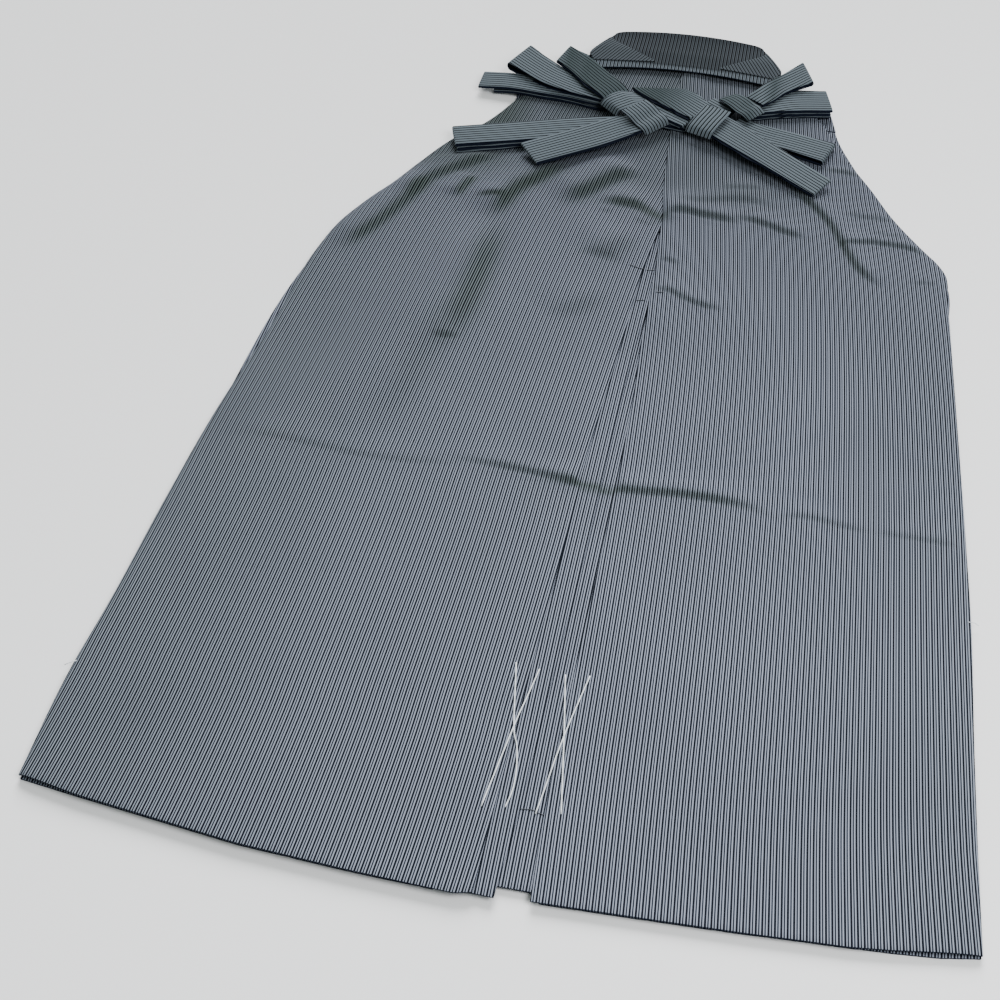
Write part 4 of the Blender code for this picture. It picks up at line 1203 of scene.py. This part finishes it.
# ---- Ties --------------------------------------------------------------------------------------
def resample(stations, step):
    """The stations' columns along a smooth line through them, at about this step."""
    table = np.array([tuple(station) for station in stations], float)
    reach = np.concatenate([[0.0], np.cumsum(np.hypot(*np.diff(table[:, :2], axis=0).T))])
    count = max(3, round(reach[-1] / step) + 1)
    where = np.linspace(0.0, reach[-1], count)
    curve = read_soft if len(stations) > 2 else read
    return np.stack([curve(np.stack([reach, column], axis=1), where) for column in table.T], axis=1)


TIE_WALL = CLOTH * 0.94
TIE_CROWN = 0.00015  # how far the edges of a tie lie below its middle
BAND_CROWN = 0.0004
# How the edges of stacked layers wander: how much, how often along the tie, and how far on in each
# layer. APART is the share of the tie over which they come to lie apart.
EDGE_WAVES = ((0.35, 13.0, 2.3), (0.25, 31.0, 1.0))
APART = (0.0, 0.08)
Path = namedtuple("Path", "centre aside width")


def plan_path(stations, step=TIE_STEP):
    """Middle line of a tie with its edge-to-edge direction and width, at the height of its top."""
    rows = resample(stations, step)
    run = np.gradient(rows[:, :2], axis=0)
    run /= np.hypot(run[:, 0], run[:, 1])[:, None]
    lean = np.radians(rows[:, -1])
    aside = np.stack([
        -run[:, 1] * np.cos(lean) - run[:, 0] * np.sin(lean),
        -run[:, 1] * np.sin(lean) + run[:, 0] * np.cos(lean),
        np.zeros(len(run)),
    ], axis=1)
    return Path(rows[:, :3], aside, rows[:, 3]), run, rows


def ribbon(node, path, crown=TIE_CROWN):
    """A tie laid along the path: one long strip of doubled cloth with round edges."""
    rows, columns = len(path.centre), TIE_COLUMNS
    travel = np.linalg.norm(np.diff(path.centre, axis=0), axis=1)
    reach = np.concatenate([[0.0], np.cumsum(travel)])
    heading = np.gradient(path.centre, axis=0)
    heading /= np.linalg.norm(heading, axis=1)[:, None]
    normal = np.cross(heading, path.aside)
    normal /= np.linalg.norm(normal, axis=1)[:, None]
    places = []

    def place(column, row):
        out = 1.0 - 2.0 * column / (columns - 1)
        half = path.width[row] / 2
        spot = path.centre[row] + path.aside[row] * (out * half)[:, None]
        spot -= normal[row] * (crown * out**4)[:, None]
        places[:] = [spot[:, 0]]
        grain = np.stack([out * half, reach[row]], axis=-1)
        return to_world(spot[:, 0], spot[:, 1], spot[:, 2]), grain

    # The inner side and edges of a tie get the dark painted shade.
    obj = cloth_sheet(
        f"{node}_cloth", columns, rows, place, silk("tie_silk"), TIE_WALL, offset=0.0, shaded_inside=True
    )
    if node in TIE_SHADES:
        store_painted_shade(obj, read(TIE_SHADES[node], *places))
    hand_over(obj, "tie", node)


def turn(end, back, heading, steps=TURN_STEPS):
    """Middle points of a half round from the upper layer's end to the lower layer's start."""
    middle = (end + back) / 2
    radius = (end[2] - back[2]) / 2
    angles = np.pi * np.arange(1, steps) / steps
    points = np.repeat(middle[None, :], len(angles), axis=0)
    points[:, :2] += np.sin(angles)[:, None] * heading * radius
    points[:, 2] = middle[2] + radius * np.cos(angles)
    return points


def folded_stack(stack):
    """A tie folded to and fro on itself: layers joined by tight turns, edges a little uneven."""
    stations = stack.stations if stack.tip == "last" else stack.stations[::-1]
    path, run, _ = plan_path(stations)
    centres, asides, widths = [], [], []
    for layer in range(stack.layers):
        centre = path.centre.copy()
        centre[:, 2] -= CLOTH / 2 + layer * (CLOTH + GAP)
        reach = np.linspace(0.0, 1.0, len(centre))
        down = np.where(path.aside[:, 1] > 0, -1.0, 1.0)[:, None]
        peek = stack.peek[0] + (stack.peek[1] - stack.peek[0]) * reach
        wave = sum(size * np.sin(reach * often + layer * on) for size, often, on in EDGE_WAVES)
        drift = peek * (layer + wave * (layer > 0)) / max(1, stack.layers - 1)
        centre += path.aside * down * (drift * ease(APART, reach))[:, None]
        if layer in (2, 3):
            centre[:, :2] -= run * (stack.short * reach)[:, None]
        aside, width = path.aside, path.width
        outward = layer % 2 == 0
        if not outward:
            centre, aside, width = centre[::-1], aside[::-1], width[::-1]
        if centres:
            heading = run[-1] if not outward else -run[0]
            corner = turn(centres[-1][-1], centre[0], heading)
            centres.append(corner)
            asides.append(np.repeat(aside[:1], len(corner), axis=0))
            widths.append(np.repeat(width[:1], len(corner)))
        centres.append(centre)
        asides.append(aside)
        widths.append(width)
    whole = Path(np.concatenate(centres), np.concatenate(asides), np.concatenate(widths))
    ribbon(stack.name, whole)


def folded_loop(name, stations):
    """A tie that runs out on top, turns round at its tip and comes back below."""
    path, run, rows = plan_path(stations)
    gap = rows[:, 4]
    upper = path.centre.copy()
    upper[:, 2] -= CLOTH / 2
    lower = path.centre.copy()
    lower[:, 2] -= CLOTH * 1.5 + gap
    corner = turn(upper[-1], lower[-1], run[-1], steps=LOOP_STEPS)
    aside_there = np.repeat(path.aside[-1:], len(corner), axis=0)
    width_there = np.repeat(path.width[-1:], len(corner))
    whole = Path(
        np.concatenate([upper, corner, lower[::-1]]),
        np.concatenate([path.aside, aside_there, path.aside[::-1]]),
        np.concatenate([path.width, width_there, path.width[::-1]]),
    )
    ribbon(name, whole)


def knot_band(name, stations):
    """One layer wrapped over the ties below it."""
    path, _, _ = plan_path(stations, step=BAND_STEP)
    centre = path.centre.copy()
    centre[:, 2] -= CLOTH / 2
    ribbon(name, path._replace(centre=centre), crown=BAND_CROWN)


class HAKAMA_OT_ties(bpy.types.Operator):
    """Lay the folded lengths of the four ties"""

    bl_idname = "hakama.ties"
    bl_label = "Ties"

    def execute(self, context):
        for stack in STACKS:
            folded_stack(stack)
        for name, stations in LOOPS:
            folded_loop(name, stations)
        return {"FINISHED"}


class HAKAMA_OT_knots(bpy.types.Operator):
    """Wrap the crossings of the ties"""

    bl_idname = "hakama.knots"
    bl_label = "Knots"

    def execute(self, context):
        for name, stations in BANDS:
            knot_band(name, stations)
        return {"FINISHED"}


# ---- Threads -----------------------------------------------------------------------------------
REST_REACH = 3  # a stitch rests on the highest cloth within this many of its points
SMOOTHED = 5  # and its height is the mean of this many


def thread(name, points, radius, material):
    """A round thread along the points, pushed out ring by ring from a small circle."""
    points = [Vector(point) for point in points]
    bm = bmesh.new()
    first = (points[1] - points[0]).normalized()
    turned = Vector((0.0, 0.0, 1.0)).rotation_difference(first).to_matrix().to_4x4()
    ring = bmesh.ops.create_circle(
        bm, cap_ends=True, segments=THREAD_SIDES, radius=radius,
        matrix=Matrix.Translation(points[0]) @ turned,
    )["verts"]
    edges = list(dict.fromkeys(edge for vert in ring for edge in vert.link_edges))
    for before, here in zip(points, points[1:]):
        made = bmesh.ops.extrude_edge_only(bm, edges=edges)["geom"]
        ring = [item for item in made if isinstance(item, bmesh.types.BMVert)]
        edges = [item for item in made if isinstance(item, bmesh.types.BMEdge)
                 and item.verts[0] in ring and item.verts[1] in ring]
        bmesh.ops.translate(bm, verts=ring, vec=here - before)
    bmesh.ops.contextual_create(bm, geom=edges)
    bmesh.ops.recalc_face_normals(bm, faces=bm.faces[:])
    mesh = bpy.data.meshes.new(name)
    bm.to_mesh(mesh)
    bm.free()
    mesh.shade_smooth()
    mesh.materials.append(material)
    obj = bpy.data.objects.new(name, mesh)
    bpy.context.scene.collection.objects.link(obj)
    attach(obj, BODY)


def basting_line(points, radius):
    """Points of a taut stitch that lies on the highest cloth along its way."""
    table = np.array(points)
    share = np.linspace(0.0, 1.0, len(table))
    where = np.linspace(0.0, 1.0, STITCH_POINTS)
    x = read_soft(np.stack([share, table[:, 0]], axis=1), where)
    along = read_soft(np.stack([share, table[:, 1]], axis=1), where)
    tops = back_top(x, along)
    shifts = range(-REST_REACH, REST_REACH + 1)
    spread = np.stack([np.roll(tops, shift) for shift in shifts]).max(axis=0)
    spread[:REST_REACH], spread[-REST_REACH:] = tops[:REST_REACH], tops[-REST_REACH:]
    padded = np.pad(spread, SMOOTHED // 2, mode="edge")
    smooth = np.convolve(padded, np.ones(SMOOTHED) / SMOOTHED, mode="valid")
    return to_world(x, along, np.maximum(smooth, tops) + radius)


class HAKAMA_OT_threads(bpy.types.Operator):
    """Baste the centre pleats shut with long white stitches, and add the small dark ones"""

    bl_idname = "hakama.threads"
    bl_label = "Threads"

    def execute(self, context):
        cloth = context.scene.hakama_cloth
        white = thread_material("basting_thread", cloth.thread_white)
        dark = thread_material("sewing_thread", cloth.thread_dark)
        radius = context.scene.hakama_shape.thread_width / 2
        for number, points in enumerate(BASTING):
            thread(f"basting_{number}", basting_line(points, radius), radius, white)
        radius = TACK_WIDTH / 2
        for number, points in enumerate(TACKS):
            thread(f"tack_{number}", basting_line(points, radius), radius, dark)
        for number, points in enumerate(LOOSE_ENDS):
            thread(f"loose_end_{number}", to_world(*np.array(points).T), radius, white)
        return {"FINISHED"}


# ---- Stage -------------------------------------------------------------------------------------
CAMERA_PLACE = (0.1095, -0.91756, 0.8024)
CAMERA_RIGHT = (0.97825, 0.20743, 0.00012)
CAMERA_UP = (-0.15046, 0.70919, 0.68878)
LENS = 55.55
SENSOR = 36.0
LAMP_WHITE = (0.98, 0.98, 1.0)
KEY_PLACE = (-0.34, 3.88, 2.25)
KEY_SPREAD = math.radians(34.0)
OVERHEAD_PLACE = (0.95, -0.6, 1.3)
OVERHEAD_WIDTH = 1.0
ROOM_WHITE = (0.92, 1.0, 0.96, 1.0)
FLOOR_SIZE = 6.0


def add_camera():
    camera = bpy.data.cameras.new("camera")
    camera.lens = LENS
    camera.sensor_width = SENSOR
    obj = bpy.data.objects.new("camera", camera)
    right, up = Vector(CAMERA_RIGHT).normalized(), Vector(CAMERA_UP).normalized()
    back = right.cross(up).normalized()
    turned = Matrix((right, up, back)).transposed().to_4x4()
    obj.matrix_world = Matrix.Translation(CAMERA_PLACE) @ turned
    bpy.context.scene.collection.objects.link(obj)
    bpy.context.scene.camera = obj


def add_lamp(kind, name, place, power, spread):
    """A lamp turned to the garment; spread is a width in metres, or an angle for a far one."""
    lamp = bpy.data.lights.new(name, kind)
    lamp.energy = power
    lamp.color = LAMP_WHITE
    if kind == "SUN":
        lamp.angle = spread
    else:
        lamp.shape = "DISK"
        lamp.size = spread
    obj = bpy.data.objects.new(name, lamp)
    aim = (-Vector(place)).to_track_quat("-Z", "Y")
    obj.matrix_world = Matrix.Translation(place) @ aim.to_matrix().to_4x4()
    bpy.context.scene.collection.objects.link(obj)


class HAKAMA_OT_stage(bpy.types.Operator):
    """Set the floor, the soft studio light and the camera"""

    bl_idname = "hakama.stage"
    bl_label = "Stage"

    def execute(self, context):
        stage = context.scene.hakama_stage
        bm = bmesh.new()
        bmesh.ops.create_grid(bm, x_segments=1, y_segments=1, size=FLOOR_SIZE)
        mesh = bpy.data.meshes.new("floor")
        bm.to_mesh(mesh)
        bm.free()
        floor = bpy.data.objects.new("floor", mesh)
        context.scene.collection.objects.link(floor)
        material, shader = new_material("pale_floor")
        shader.inputs["Base Color"].default_value = list(stage.floor_colour) + [1.0]
        shader.inputs["Roughness"].default_value = FLOOR_ROUGHNESS
        mesh.materials.append(material)
        world = bpy.data.worlds.new("room")
        world.use_nodes = True
        background = world.node_tree.nodes["Background"]
        background.inputs["Color"].default_value = ROOM_WHITE
        background.inputs["Strength"].default_value = stage.sky_strength
        context.scene.world = world
        add_lamp("SUN", "key", KEY_PLACE, stage.key_power, KEY_SPREAD)
        add_lamp("AREA", "overhead", OVERHEAD_PLACE, stage.fill_power, OVERHEAD_WIDTH)
        add_camera()
        return {"FINISHED"}


class HAKAMA_PT_sidebar(bpy.types.Panel):
    """Buttons and settings of the garment"""

    bl_idname = "HAKAMA_PT_sidebar"
    bl_label = "Hakama Trousers"
    bl_space_type = "VIEW_3D"
    bl_region_type = "UI"
    bl_category = "Hakama"

    def draw(self, context):
        for settings in ("hakama_cloth", "hakama_shape", "hakama_stage"):
            group = getattr(context.scene, settings)
            box = self.layout.box()
            for name in type(group).__annotations__:
                box.prop(group, name)
        for operator in OPERATORS:
            self.layout.operator(operator.bl_idname)


OPERATORS = (
    HAKAMA_OT_front,
    HAKAMA_OT_inner_pleats,
    HAKAMA_OT_back_panels,
    HAKAMA_OT_waist_board,
    HAKAMA_OT_ties,
    HAKAMA_OT_knots,
    HAKAMA_OT_threads,
    HAKAMA_OT_stage,
)
GROUPS = (HakamaClothSettings, HakamaShapeSettings, HakamaStageSettings)
PANELS = (HAKAMA_PT_sidebar,)


def register():
    for cls in GROUPS + OPERATORS + PANELS:
        bpy.utils.register_class(cls)
    bpy.types.Scene.hakama_cloth = PointerProperty(type=HakamaClothSettings)
    bpy.types.Scene.hakama_shape = PointerProperty(type=HakamaShapeSettings)
    bpy.types.Scene.hakama_stage = PointerProperty(type=HakamaStageSettings)


def unregister():
    for name in ("hakama_cloth", "hakama_shape", "hakama_stage"):
        delattr(bpy.types.Scene, name)
    for cls in reversed(GROUPS + OPERATORS + PANELS):
        bpy.utils.unregister_class(cls)


def main():
    register()
    for operator in OPERATORS:
        group, name = operator.bl_idname.split(".")
        if getattr(getattr(bpy.ops, group), name)() != {"FINISHED"}:
            raise RuntimeError(f"{operator.bl_label} did not finish")
    bpy.context.view_layer.update()


if __name__ == "__main__":
    main()
